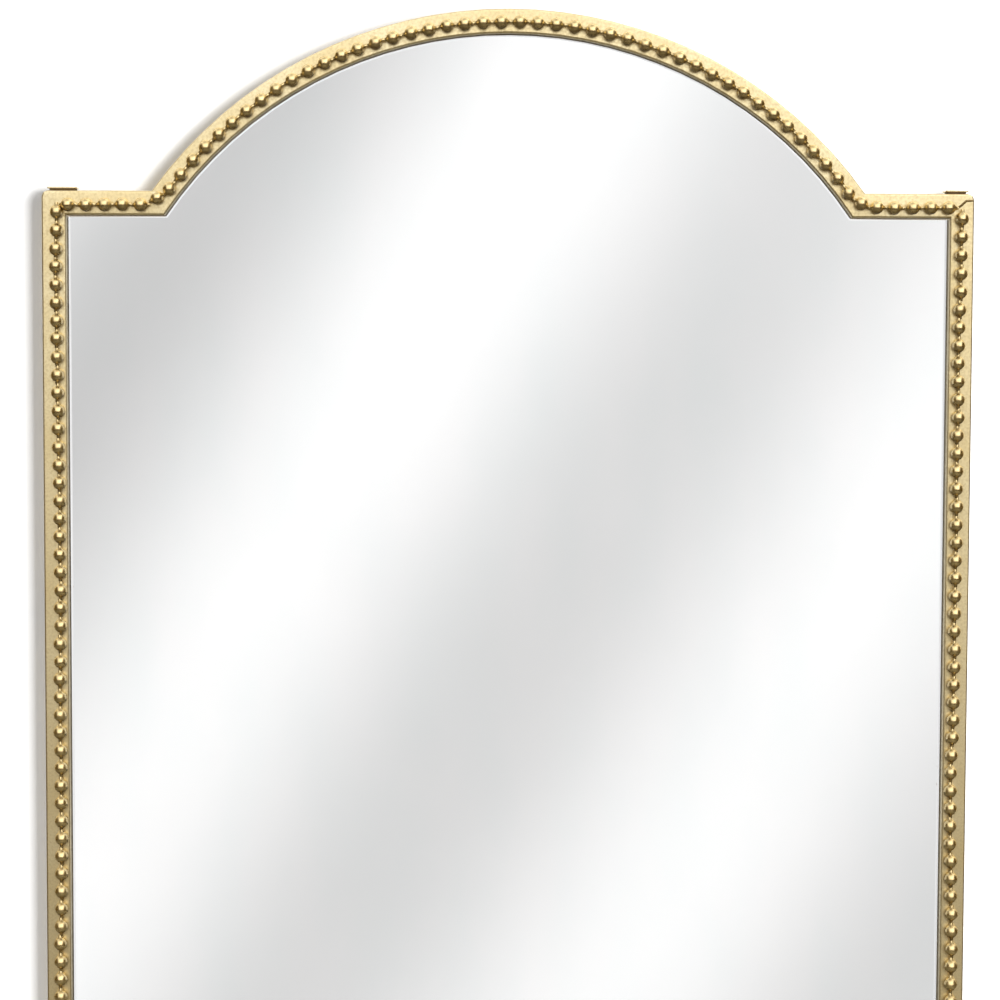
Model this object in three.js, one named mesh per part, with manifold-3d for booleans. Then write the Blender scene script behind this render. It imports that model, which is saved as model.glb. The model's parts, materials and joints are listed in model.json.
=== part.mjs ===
// A floor mirror: a shouldered arch of welded steel tube with a line of beads along its face,
// and behind it a sheet of silvered glass bonded to a board that is screwed to lugs on the tube.
// Millimetres, +Z up, the face towards -Y, left and right as the viewer in front sees them.
// The origin is on the floor, at the middle of the width and of the depth.

import * as THREE from "three";
import { mergeVertices } from "three/addons/utils/BufferGeometryUtils.js";
import Module from "manifold-3d";

const wasm = await Module();
wasm.setup();

// ---------------------------------------------------------------- driving dimensions

// The frame as seen from the front
const FRAME_WIDTH = 711;
const FRAME_HEIGHT = 1775;
const ARCH_RADIUS = 336;
const ARCH_RISE = 138.5; // arch top above the shoulders' top edge
const CORNER_RADIUS = 5; // the four outer corners, ground round

// The tube
const TUBE_FACE = 18.5;
const TUBE_DEPTH = 25;
const TUBE_WALL = 1.2;
const TUBE_EDGE_RADIUS = 1.5;

// The beads, rolled along one wire and flattened where they sit on the face
const BEAD_DIAMETER = 10.4;
const BEAD_PITCH = 13.8;
const BEAD_CROWN_LENGTH = 3.8; // the length over which a bead keeps its full diameter
const BEAD_WIRE_DIAMETER = 2.6;
const BEAD_LINE = 10.8; // from the frame's outer edge to the middle of the beads
const SIDE_RUN_START = 17.4; // from the frame's top or bottom edge to a side rail's end bead
const BOTTOM_RUN_START = 20.4; // from a side's outer edge to the bottom rail's end bead
const SHOULDER_RUN_START = 20.2; // from a side's outer edge to a shoulder's end bead

// The mirror panel, front to back
const GLASS_THICKNESS = 5;
const FILM_THICKNESS = 0.5;
const FILM_INSET = 3; // the film stops short of the glass edge
const TAPE_THICKNESS = 1;
const TAPE_WIDTH = 30;
const TAPE_END_INSET = 88; // from the panel's bottom, and from its edge under the shoulders
const TAPE_SPACING = 160;
const TAPE_COUNT = 4;
const BOARD_THICKNESS = 9;
const PANEL_EDGE_GAP = 0.8; // from the glass and the board to the tube
const SETTING_BLOCK_THICKNESS = 2;
const SETTING_BLOCK_LENGTH = 50;
const SETTING_BLOCK_OFFSET = 180; // from the middle of the bottom rail

// The lugs that hold the panel
const LUG_THICKNESS = 2;
const LUG_WIDTH = 20;
const LUG_ON_TUBE = 12;
const LUG_ON_BOARD = 18;
const LUG_CORNER_RADIUS = 4;
const LUG_SCREW_INSET = 9; // from the tube's inner side to the screw
const LOW_LUG_HEIGHT = 260; // from the frame's underside
const MIDDLE_LUG_HEIGHT = 820; // from the frame's underside
const HIGH_LUG_DROP = 96.5; // from the shoulders' top edge
const BOTTOM_LUG_OFFSET = 200;
const ARCH_LUG_ANGLE = 32; // degrees from the top of the arch

// The screws in the lugs
const LUG_SCREW_SHANK = 3.5;
const LUG_SCREW_LENGTH = 8.5;
const LUG_SCREW_HEAD = 7.2;
const LUG_SCREW_HEAD_HEIGHT = 2.2;
const LUG_SCREW_RIM = 0.9; // the upright part of the head, below its dome
const LUG_SCREW_DOME = 5; // the width of the head's flat top
const RECESS_LENGTH = 3.6; // the cross recess of every screw
const RECESS_WIDTH = 0.9;
const RECESS_DEPTH = 1.1;

// The two hangers
const HANGER_DROP = 306.5; // from the shoulders' top edge to the ring's pivot
const STRAP_WIDTH = 9;
const STRAP_THICKNESS = 1.2;
const STRAP_LENGTH = 38; // from the pivot to the strap's lower end
const STRAP_SCREW_DROPS = { upper: 10, lower: 30 };
const CURL_TURN = 255; // degrees that the strap curls round the ring's bar
const RING_BAR = 2.6;
const RING_WIDTH = 15;
const RING_DROP = 13; // from the pivot to the middle of the ring's lowest stretch
const RING_BEND_RADIUS = 2.6;
const HANGER_SCREW_SHANK = 3.2;
const HANGER_SCREW_HEAD = 6;
const HANGER_SCREW_LENGTH = 9;
const HEAD_SINK = 0.1; // how far a flat head lies below the strap's surface

// Rubber and the small plates on top of the shoulders
const BUMPER_DIAMETER = 14;
const BUMPER_HEIGHT = 8;
const BUMPER_CHAMFER = 1.5;
const TOP_BUMPER_ANGLE = 15; // degrees from the top of the arch
const LOW_BUMPER_HEIGHT = 60; // from the frame's underside
const FLOOR_PAD_THICKNESS = 3;
const FLOOR_PAD_LENGTH = 70;
const FLOOR_PAD_WIDTH = 20;
const FLOOR_PAD_INSET = 60; // from the frame's side to the pad's middle
const CORNER_PLATE_LENGTH = 22.5;
const CORNER_PLATE_DEPTH = 18;
const CORNER_PLATE_THICKNESS = 2.4;
const CORNER_PLATE_INSET = 4; // from the frame's side
const CORNER_PLATE_SETBACK = 2.5; // from the face

// Clearances
const FACE_GAP = 0.3; // between pieces that rest on, or are welded or stuck to, each other
const SCREW_GAP = 0.3; // round a screw in its hole
const PIVOT_GAP = 0.3; // round the ring's bar in its curl

// How finely round shapes are cut
const ARCH_STEPS = 32;
const BEAD_SIDES = 5;
const SCREW_SIDES = 8;
const BAR_SIDES = 8;
const RUBBER_SIDES = 14;
const FILLET_STEPS = 2;
const CORNER_SHARES = [0, 0.2, 0.5, 1]; // of a round corner's length back from the mitre
const MERGE_DISTANCE = 1e-4; // points nearer than this are one
const CUTTER_OVERRUN = 1; // how far a cutter runs past the face that it opens

// ---------------------------------------------------------------- places worked out from them

const beadRadius = BEAD_DIAMETER / 2;
const beadHeight = beadRadius * Math.cos(Math.PI / BEAD_SIDES); // bead centre above its flat back
const beadFront = FACE_GAP + beadHeight + beadRadius; // how far the beads stand out of the face
const bumperBack = FACE_GAP + BUMPER_HEIGHT;
const faceY = beadFront - (beadFront + TUBE_DEPTH + bumperBack) / 2;
const rearY = faceY + TUBE_DEPTH;

const halfWidth = FRAME_WIDTH / 2;
const frameBottom = FLOOR_PAD_THICKNESS + FACE_GAP;
const frameTop = frameBottom + FRAME_HEIGHT;
const shoulderTop = frameTop - ARCH_RISE;
const archCentre = frameTop - ARCH_RADIUS;

const boardBack = rearY - FACE_GAP;
const boardFront = boardBack - BOARD_THICKNESS;
const tapeFront = boardFront - FACE_GAP - TAPE_THICKNESS;
const filmFront = tapeFront - FACE_GAP - FILM_THICKNESS;
const glassFront = filmFront - FACE_GAP - GLASS_THICKNESS;
const panelBottom = frameBottom + TUBE_FACE + SETTING_BLOCK_THICKNESS + 2 * FACE_GAP;
const panelInset = TUBE_FACE + PANEL_EDGE_GAP;

const pivotY = rearY + FACE_GAP + STRAP_THICKNESS + PIVOT_GAP + RING_BAR / 2;
const pivotZ = shoulderTop - HANGER_DROP;
const strapFront = rearY + FACE_GAP;
const strapBack = strapFront + STRAP_THICKNESS;

/** Half the width at which the arch, moved in by an inset, meets a shoulder moved in alike. */
function notchHalf(inset) {
  const radius = ARCH_RADIUS - inset;
  const drop = shoulderTop - inset - archCentre;
  return Math.sqrt(radius * radius - drop * drop);
}

const notchOuter = notchHalf(0);
const notchInner = notchHalf(TUBE_FACE);
const notchSlope = (notchOuter - notchInner) / TUBE_FACE;
const notchSetback = (FACE_GAP / 2) * Math.hypot(1, notchSlope);
const cornerSetback = (FACE_GAP / 2) * Math.SQRT2;

// ---------------------------------------------------------------- materials

/** A plain material of one colour. */
function finish(colour, roughness, metalness) {
  return new THREE.MeshStandardMaterial({ color: colour, roughness, metalness });
}

const goldLacquer = () => finish(0xe3cf98, 0.38, 0.85);
const goldBeads = () => finish(0xd9bd78, 0.3, 0.9);
const silveredGlass = () => finish(0xe9ebec, 0.03, 1);
const backingFilm = () => finish(0x9aa0a3, 0.6, 0);
const foamTape = () => finish(0xf1f0ea, 0.9, 0);
const fibreBoard = () => finish(0x8a6a48, 0.85, 0);
const zincPlate = () => finish(0xc2c6c9, 0.35, 0.9);
const blackRubber = () => finish(0x232324, 0.8, 0);
const clearRubber = () => finish(0xcfd2d0, 0.5, 0);

// ---------------------------------------------------------------- solids

/** A geometry from points and triangles, turned to face outwards. */
function closedGeometry(points, triangles) {
  let volume = 0;
  for (const [a, b, c] of triangles) {
    volume += points[a].dot(new THREE.Vector3().crossVectors(points[b], points[c]));
  }
  const ordered = volume < 0 ? triangles.map(([a, b, c]) => [a, c, b]) : triangles;
  const geometry = new THREE.BufferGeometry().setFromPoints(points);
  geometry.setIndex(ordered.flat());
  return geometry;
}

/** The triangles of the skin between two rings of equal count. */
function skinBetween(first, second, count) {
  const triangles = [];
  for (let i = 0; i < count; i += 1) {
    const next = (i + 1) % count;
    triangles.push([first + i, first + next, second + next]);
    triangles.push([first + i, second + next, second + i]);
  }
  return triangles;
}

/** A solid through convex rings: its ends are capped, or it closes on itself. */
function loft(rings, loops = false) {
  const count = rings[0].length;
  const triangles = [];
  const last = rings.length - 1;
  for (let i = 0; i < last; i += 1) {
    triangles.push(...skinBetween(i * count, (i + 1) * count, count));
  }
  if (loops) {
    triangles.push(...skinBetween(last * count, 0, count));
  } else {
    for (let i = 1; i < count - 1; i += 1) {
      triangles.push([0, i + 1, i]);
      triangles.push([last * count, last * count + i, last * count + i + 1]);
    }
  }
  return closedGeometry(rings.flat(), triangles);
}

/** A tube with open ends through pairs of rings, the outer ring and the bore's ring. */
function hollowLoft(pairs) {
  const count = pairs[0].outer.length;
  const bore = pairs.length * count;
  const triangles = [];
  for (let i = 0; i < pairs.length - 1; i += 1) {
    const here = i * count;
    const next = (i + 1) * count;
    triangles.push(...skinBetween(here, next, count));
    triangles.push(...skinBetween(bore + next, bore + here, count));
  }
  const end = (pairs.length - 1) * count;
  triangles.push(...skinBetween(bore, 0, count));
  triangles.push(...skinBetween(end, bore + end, count));
  const points = [...pairs.flatMap((p) => p.outer), ...pairs.flatMap((p) => p.bore)];
  return closedGeometry(points, triangles);
}

/** The solid of a closed geometry, ready to be joined or cut. */
function solid(geometry) {
  const bare = geometry.clone();
  for (const name of Object.keys(bare.attributes)) {
    if (name !== "position") {
      bare.deleteAttribute(name);
    }
  }
  const merged = mergeVertices(bare, MERGE_DISTANCE);
  return new wasm.Manifold(
    new wasm.Mesh({
      numProp: 3,
      vertProperties: merged.attributes.position.array,
      triVerts: new Uint32Array(merged.index.array),
    }),
  );
}

/** The geometry left when some geometries are cut out of another. */
function cut(geometry, cutters) {
  let body = solid(geometry);
  for (const cutter of cutters) {
    body = body.subtract(solid(cutter));
  }
  const mesh = body.getMesh();
  const made = new THREE.BufferGeometry();
  made.setAttribute("position", new THREE.BufferAttribute(mesh.vertProperties, 3));
  made.setIndex(new THREE.BufferAttribute(mesh.triVerts, 1));
  return made;
}

/** A named piece, placed at x, y, z. */
function piece(name, geometry, material, x = 0, y = 0, z = 0) {
  const mesh = new THREE.Mesh(geometry, material);
  mesh.name = name;
  mesh.position.set(x, y, z);
  return mesh;
}

/** A shape drawn in X and Z, made a plate whose back is at y = 0. */
function plate(shape, thickness, curveSegments = FILLET_STEPS) {
  const geometry = new THREE.ExtrudeGeometry(shape, {
    depth: thickness,
    bevelEnabled: false,
    curveSegments,
  });
  return geometry.rotateX(Math.PI / 2);
}

/** A round bar along Y, from y = low to y = high. */
function barAlongY(radius, low, high, sides) {
  const geometry = new THREE.CylinderGeometry(radius, radius, high - low, sides);
  return geometry.translate(0, (low + high) / 2, 0);
}

/** A rectangle with round corners, centred. */
function roundedRectangle(width, height, radius) {
  const shape = new THREE.Shape();
  const x = width / 2 - radius;
  const y = height / 2 - radius;
  shape.absarc(x, y, radius, 0, Math.PI / 2);
  shape.absarc(-x, y, radius, Math.PI / 2, Math.PI);
  shape.absarc(-x, -y, radius, Math.PI, 1.5 * Math.PI);
  shape.absarc(x, -y, radius, 1.5 * Math.PI, 2 * Math.PI);
  return shape;
}

// ---------------------------------------------------------------- the tube frame

/** The tube's section: u runs in from the frame's outer edge, v back from its face. */
function sectionLoop(inset, radius) {
  const low = inset + radius;
  const farU = TUBE_FACE - inset - radius;
  const farV = TUBE_DEPTH - inset - radius;
  const corners = [
    { u: farU, v: farV, start: 0 },
    { u: low, v: farV, start: 1 },
    { u: low, v: low, start: 2 },
    { u: farU, v: low, start: 3 },
  ];
  return corners.flatMap(({ u, v, start }) =>
    Array.from({ length: FILLET_STEPS + 1 }, (_, i) => {
      const angle = ((start + i / FILLET_STEPS) * Math.PI) / 2;
      return { u: u + radius * Math.cos(angle), v: v + radius * Math.sin(angle) };
    }),
  );
}

const tubeOuter = sectionLoop(0, TUBE_EDGE_RADIUS);
const tubeBore = sectionLoop(TUBE_WALL, TUBE_EDGE_RADIUS - TUBE_WALL);

/** The two rings of the tube at one station, which gives the point for each u and v. */
function tubeRings(station) {
  const place = ({ u, v }) => {
    const { x, z } = station(u);
    return new THREE.Vector3(x, faceY + v, z);
  };
  return { outer: tubeOuter.map(place), bore: tubeBore.map(place) };
}

/** Where a mitred, round-cornered end puts a point of the section: back from the corner, and in. */
function roundedEnd(u, back) {
  const corner = CORNER_RADIUS * (1 - Math.SQRT1_2);
  const onMitre = corner + (u * (TUBE_FACE - corner)) / TUBE_FACE;
  const reach = CORNER_RADIUS - Math.min(corner + back, CORNER_RADIUS);
  const arc = CORNER_RADIUS - Math.sqrt(CORNER_RADIUS ** 2 - reach ** 2);
  return { s: onMitre + back + cornerSetback, u: u + ((onMitre - u) * arc) / corner };
}

/** How far back from the mitre the rings of a round corner lie. */
function cornerBacks() {
  return CORNER_SHARES.map((share) => share * CORNER_RADIUS * Math.SQRT1_2);
}

/** A straight length of tube from one outer corner, along one direction, to its far end. */
function straightRail(corner, along, inward, length, farEnd) {
  const at = (s, u) => ({
    x: corner.x + along.x * s + inward.x * u,
    z: corner.z + along.z * s + inward.z * u,
  });
  const near = cornerBacks().map((back) =>
    tubeRings((u) => {
      const end = roundedEnd(u, back);
      return at(end.s, end.u);
    }),
  );
  const far = farEnd(length, at);
  return hollowLoft([...near, ...far]);
}

/** A far end with a round corner like the near one. */
function roundFarEnd(length, at) {
  return cornerBacks()
    .reverse()
    .map((back) =>
      tubeRings((u) => {
        const end = roundedEnd(u, back);
        return at(length - end.s, end.u);
      }),
    );
}

/** A far end cut along the mitre between a shoulder and the arch. */
function notchFarEnd(length, at) {
  return [tubeRings((u) => at(length + u * notchSlope - notchSetback, u))];
}

/** The arch's half angle, in radians, where a circle of this radius meets the mitre line. */
function archHalfAngle(radius) {
  const start = new THREE.Vector2(notchOuter, shoulderTop - archCentre);
  const run = new THREE.Vector2(notchInner - notchOuter, -TUBE_FACE);
  const along = start.dot(run);
  const square = run.lengthSq();
  const root = Math.sqrt(along * along - square * (start.lengthSq() - radius * radius));
  const met = start.addScaledVector(run, (-along - root) / square);
  return Math.atan2(met.x, met.y);
}

/** The bent length of tube over the top. */
function archRail() {
  const rings = Array.from({ length: ARCH_STEPS + 1 }, (_, i) =>
    tubeRings((u) => {
      const radius = ARCH_RADIUS - u;
      const half = archHalfAngle(radius) - notchSetback / radius;
      const angle = half * ((2 * i) / ARCH_STEPS - 1);
      return { x: radius * Math.sin(angle), z: archCentre + radius * Math.cos(angle) };
    }),
  );
  return hollowLoft(rings);
}

/** A shoulder's length of tube. side is -1 on the left and 1 on the right. */
function shoulderRail(side) {
  const corner = { x: side * halfWidth, z: shoulderTop };
  const length = halfWidth - notchOuter;
  return straightRail(corner, { x: -side, z: 0 }, { x: 0, z: -1 }, length, notchFarEnd);
}

/** A side's length of tube, bored at the back for the hanger's screws. */
function sideRail(side) {
  const corner = { x: side * halfWidth, z: shoulderTop };
  const length = shoulderTop - frameBottom;
  const tube = straightRail(corner, { x: 0, z: -1 }, { x: -side, z: 0 }, length, roundFarEnd);
  const radius = HANGER_SCREW_SHANK / 2 + SCREW_GAP;
  const holes = Object.values(STRAP_SCREW_DROPS).map((drop) => {
    const hole = barAlongY(radius, rearY - 2 * TUBE_WALL, rearY + TUBE_WALL, SCREW_SIDES);
    return hole.translate(side * (halfWidth - TUBE_FACE / 2), 0, pivotZ - drop);
  });
  return cut(tube, holes);
}

/** The bottom length of tube. */
function bottomRail() {
  const corner = { x: -halfWidth, z: frameBottom };
  return straightRail(corner, { x: 1, z: 0 }, { x: 0, z: 1 }, FRAME_WIDTH, roundFarEnd);
}

/** The small plate welded on top of a shoulder, at its outer corner. */
function cornerPlate(side) {
  const geometry = new THREE.BoxGeometry(
    CORNER_PLATE_LENGTH,
    CORNER_PLATE_DEPTH,
    CORNER_PLATE_THICKNESS,
  );
  return piece(
    side < 0 ? "corner_plate_left" : "corner_plate_right",
    geometry,
    goldLacquer(),
    side * (halfWidth - CORNER_PLATE_INSET - CORNER_PLATE_LENGTH / 2),
    faceY + CORNER_PLATE_SETBACK + CORNER_PLATE_DEPTH / 2,
    shoulderTop + FACE_GAP + CORNER_PLATE_THICKNESS / 2,
  );
}

/** The welded frame. */
function frameGroup() {
  const group = new THREE.Group();
  group.add(piece("side_rail_left", sideRail(-1), goldLacquer()));
  group.add(piece("side_rail_right", sideRail(1), goldLacquer()));
  group.add(piece("bottom_rail", bottomRail(), goldLacquer()));
  group.add(piece("shoulder_rail_left", shoulderRail(-1), goldLacquer()));
  group.add(piece("shoulder_rail_right", shoulderRail(1), goldLacquer()));
  group.add(piece("arch_rail", archRail(), goldLacquer()));
  group.add(cornerPlate(-1), cornerPlate(1));
  return group;
}

// ---------------------------------------------------------------- the beads

/** One ring round the bead wire: the middle of its back edge lies towards the frame's face. */
function beadRing(x, z, heading, radius) {
  const y = faceY - FACE_GAP - beadHeight;
  return Array.from({ length: BEAD_SIDES }, (_, i) => {
    const angle = (2 * Math.PI * i) / BEAD_SIDES;
    const sideways = radius * Math.sin(angle);
    return new THREE.Vector3(
      x - sideways * Math.sin(heading),
      y - radius * Math.cos(angle),
      z + sideways * Math.cos(heading),
    );
  });
}

/** A run of beads on its wire. Each stop has x, z and its heading in the X-Z plane. */
function beadRun(stops, tailBefore, tailAfter) {
  const wire = BEAD_WIRE_DIAMETER / 2;
  const half = BEAD_CROWN_LENGTH / 2;
  const ringAt = (stop, along, radius) =>
    beadRing(
      stop.x + along * Math.cos(stop.heading),
      stop.z + along * Math.sin(stop.heading),
      stop.heading,
      radius,
    );
  const rings = [ringAt(stops[0], -tailBefore, wire)];
  stops.forEach((stop, i) => {
    rings.push(ringAt(stop, -half, beadRadius), ringAt(stop, half, beadRadius));
    const next = stops[i + 1];
    if (next) {
      const x = (stop.x + next.x) / 2;
      const z = (stop.z + next.z) / 2;
      rings.push(beadRing(x, z, (stop.heading + next.heading) / 2, wire));
    }
  });
  rings.push(ringAt(stops.at(-1), tailAfter, wire));
  return loft(rings);
}

/** Stops evenly spread on a straight line, as near the bead pitch as fits. */
function straightStops(x0, z0, x1, z1) {
  const length = Math.hypot(x1 - x0, z1 - z0);
  const steps = Math.max(1, Math.round(length / BEAD_PITCH));
  const heading = Math.atan2(z1 - z0, x1 - x0);
  return Array.from({ length: steps + 1 }, (_, i) => ({
    x: x0 + ((x1 - x0) * i) / steps,
    z: z0 + ((z1 - z0) * i) / steps,
    heading,
  }));
}

/** Stops evenly spread over the arch, from the corner of the bead line to the other. */
function archStops() {
  const radius = ARCH_RADIUS - BEAD_LINE;
  const half = Math.asin(notchHalf(BEAD_LINE) / radius);
  const steps = Math.round((2 * half * radius) / BEAD_PITCH);
  return Array.from({ length: steps + 1 }, (_, i) => {
    const angle = half * ((2 * i) / steps - 1);
    return {
      x: radius * Math.sin(angle),
      z: archCentre + radius * Math.cos(angle),
      heading: -angle,
    };
  });
}

/** A side's run of beads, from the top down. */
function sideRun(side) {
  const x = side * (halfWidth - BEAD_LINE);
  const top = shoulderTop - SIDE_RUN_START;
  return beadRun(straightStops(x, top, x, frameBottom + SIDE_RUN_START), beadRadius, beadRadius);
}

/** A shoulder's run of beads: it stops one pitch short of the arch's first bead. */
function shoulderRun(side) {
  const z = shoulderTop - BEAD_LINE;
  const outer = side * (halfWidth - SHOULDER_RUN_START);
  const inner = side * (notchHalf(BEAD_LINE) + BEAD_PITCH);
  const reach = BEAD_PITCH - beadRadius - FACE_GAP;
  return beadRun(straightStops(outer, z, inner, z), beadRadius, reach);
}

/** The bottom rail's run of beads. */
function bottomRun() {
  const z = frameBottom + BEAD_LINE;
  const x = halfWidth - BOTTOM_RUN_START;
  return beadRun(straightStops(-x, z, x, z), beadRadius, beadRadius);
}

/** All the beads. */
function beadGroup() {
  const group = new THREE.Group();
  group.add(piece("bead_run_left", sideRun(-1), goldBeads()));
  group.add(piece("bead_run_right", sideRun(1), goldBeads()));
  group.add(piece("bead_run_shoulder_left", shoulderRun(-1), goldBeads()));
  group.add(piece("bead_run_shoulder_right", shoulderRun(1), goldBeads()));
  group.add(piece("bead_run_bottom", bottomRun(), goldBeads()));
  group.add(piece("bead_run_arch", beadRun(archStops(), beadRadius, beadRadius), goldBeads()));
  return group;
}

// ---------------------------------------------------------------- the mirror panel

/** The frame's outline moved in by an inset, with its lower edge at a height of its own. */
function panelShape(inset, bottom) {
  const x = halfWidth - inset;
  const z = shoulderTop - inset;
  const notch = notchHalf(inset);
  const start = Math.atan2(z - archCentre, notch);
  const shape = new THREE.Shape();
  shape.moveTo(-x, bottom);
  shape.lineTo(x, bottom);
  shape.lineTo(x, z);
  shape.lineTo(notch, z);
  shape.absarc(0, archCentre, ARCH_RADIUS - inset, start, Math.PI - start);
  shape.lineTo(-x, z);
  shape.closePath();
  return shape;
}

/** The places of the lugs: a name, the tube's middle there, and the way in to the board. */
function lugPlaces() {
  const middle = TUBE_FACE / 2;
  const levels = {
    low: frameBottom + LOW_LUG_HEIGHT,
    middle: frameBottom + MIDDLE_LUG_HEIGHT,
    high: shoulderTop - HIGH_LUG_DROP,
  };
  const places = [];
  for (const [side, word] of [[-1, "left"], [1, "right"]]) {
    for (const [level, z] of Object.entries(levels)) {
      const x = side * (halfWidth - middle);
      places.push({ name: word + "_" + level, x, z, inward: { x: -side, z: 0 } });
    }
    places.push({
      name: "bottom_" + word,
      x: side * BOTTOM_LUG_OFFSET,
      z: frameBottom + middle,
      inward: { x: 0, z: 1 },
    });
  }
  for (const [turn, word] of [[-1, "arch_left"], [0, "arch_top"], [1, "arch_right"]]) {
    const angle = THREE.MathUtils.degToRad(turn * ARCH_LUG_ANGLE);
    const inward = { x: -Math.sin(angle), z: -Math.cos(angle) };
    places.push({
      name: word,
      x: -inward.x * (ARCH_RADIUS - middle),
      z: archCentre - inward.z * (ARCH_RADIUS - middle),
      inward,
    });
  }
  return places;
}

/** Where the screw of a lug stands. */
function lugScrewPlace({ x, z, inward }) {
  const reach = TUBE_FACE / 2 + LUG_SCREW_INSET;
  return { x: x + inward.x * reach, z: z + inward.z * reach };
}

/** The board, with a pilot hole for each lug's screw. */
function backBoard() {
  const board = plate(panelShape(panelInset, panelBottom), BOARD_THICKNESS, ARCH_STEPS / 2);
  const radius = LUG_SCREW_SHANK / 2 + SCREW_GAP;
  const depth = LUG_SCREW_LENGTH + SCREW_GAP - LUG_THICKNESS - 2 * FACE_GAP;
  const holes = lugPlaces().map((place) => {
    const { x, z } = lugScrewPlace(place);
    return barAlongY(radius, -depth, CUTTER_OVERRUN, SCREW_SIDES).translate(x, 0, z);
  });
  return cut(board, holes);
}

/** The block that carries the panel's weight at the bottom. */
function settingBlock(side) {
  const depth = boardBack - glassFront;
  return piece(
    side < 0 ? "setting_block_left" : "setting_block_right",
    new THREE.BoxGeometry(SETTING_BLOCK_LENGTH, depth, SETTING_BLOCK_THICKNESS),
    blackRubber(),
    side * SETTING_BLOCK_OFFSET,
    glassFront + depth / 2,
    frameBottom + TUBE_FACE + FACE_GAP + SETTING_BLOCK_THICKNESS / 2,
  );
}

/** The glass, the film on its back, the tape, the board and the blocks below them. */
function panelGroup() {
  const group = new THREE.Group();
  const glass = plate(panelShape(panelInset, panelBottom), GLASS_THICKNESS, ARCH_STEPS / 2);
  const filmShape = panelShape(panelInset + FILM_INSET, panelBottom + FILM_INSET);
  const film = plate(filmShape, FILM_THICKNESS, ARCH_STEPS / 2);
  group.add(piece("mirror_glass", glass, silveredGlass(), 0, glassFront + GLASS_THICKNESS, 0));
  group.add(piece("safety_film", film, backingFilm(), 0, filmFront + FILM_THICKNESS, 0));
  group.add(piece("back_board", backBoard(), fibreBoard(), 0, boardBack, 0));
  const tapeBottom = panelBottom + TAPE_END_INSET;
  const tapeLength = shoulderTop - panelInset - TAPE_END_INSET - tapeBottom;
  for (let i = 0; i < TAPE_COUNT; i += 1) {
    const x = (i - (TAPE_COUNT - 1) / 2) * TAPE_SPACING;
    const strip = new THREE.BoxGeometry(TAPE_WIDTH, TAPE_THICKNESS, tapeLength);
    const y = tapeFront + TAPE_THICKNESS / 2;
    const z = tapeBottom + tapeLength / 2;
    group.add(piece("bonding_tape_" + (i + 1), strip, foamTape(), x, y, z));
  }
  group.add(settingBlock(-1), settingBlock(1));
  return group;
}

// ---------------------------------------------------------------- lugs and screws

/** The cross recess in a screw's head, cut down from its top at y = 0. */
function crossRecess() {
  return [
    new THREE.BoxGeometry(RECESS_LENGTH, 2 * RECESS_DEPTH, RECESS_WIDTH),
    new THREE.BoxGeometry(RECESS_WIDTH, 2 * RECESS_DEPTH, RECESS_LENGTH),
  ];
}

/** A domed screw along Y: the underside of its head is at y = 0. */
function panScrew() {
  const head = LUG_SCREW_HEAD / 2;
  const shank = LUG_SCREW_SHANK / 2;
  const top = LUG_SCREW_HEAD_HEIGHT;
  const profile = [
    [0, -LUG_SCREW_LENGTH],
    [shank, shank - LUG_SCREW_LENGTH],
    [shank, 0],
    [head, 0],
    [head, LUG_SCREW_RIM],
    [LUG_SCREW_DOME / 2, top],
    [0, top],
  ].map(([r, y]) => new THREE.Vector2(r, y));
  const body = new THREE.LatheGeometry(profile, SCREW_SIDES);
  const recess = crossRecess().map((arm) => arm.translate(0, top, 0));
  return cut(body, recess);
}

/** A flat-headed screw along Y: the top of its head is at y = 0. */
function flatScrew() {
  const head = HANGER_SCREW_HEAD / 2;
  const shank = HANGER_SCREW_SHANK / 2;
  const profile = [
    [0, -HANGER_SCREW_LENGTH],
    [shank, shank - HANGER_SCREW_LENGTH],
    [shank, shank - head],
    [head, 0],
    [0, 0],
  ].map(([r, y]) => new THREE.Vector2(r, y));
  const body = new THREE.LatheGeometry(profile, SCREW_SIDES);
  return cut(body, crossRecess());
}

/** A lug: a flat tab from the back of the tube over the back of the board. */
function lugGeometry() {
  const length = LUG_ON_TUBE + LUG_ON_BOARD;
  const tab = plate(roundedRectangle(length, LUG_WIDTH, LUG_CORNER_RADIUS), LUG_THICKNESS);
  tab.translate(length / 2 - LUG_ON_TUBE, 0, 0);
  const radius = LUG_SCREW_SHANK / 2 + SCREW_GAP;
  const hole = barAlongY(radius, -LUG_THICKNESS - CUTTER_OVERRUN, CUTTER_OVERRUN, SCREW_SIDES);
  return cut(tab, [hole.translate(LUG_SCREW_INSET, 0, 0)]);
}

/** The lugs round the back of the frame, each with its screw. */
function lugGroup() {
  const group = new THREE.Group();
  for (const place of lugPlaces()) {
    const { x, z, inward } = place;
    const reach = TUBE_FACE / 2;
    const lug = piece(
      "lug_" + place.name,
      lugGeometry(),
      goldLacquer(),
      x + inward.x * reach,
      rearY + FACE_GAP + LUG_THICKNESS,
      z + inward.z * reach,
    );
    lug.rotation.y = -Math.atan2(inward.z, inward.x);
    const at = lugScrewPlace(place);
    const under = rearY + 2 * FACE_GAP + LUG_THICKNESS;
    group.add(lug);
    group.add(piece("lug_screw_" + place.name, panScrew(), zincPlate(), at.x, under, at.z));
  }
  return group;
}

// ---------------------------------------------------------------- hangers

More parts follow.
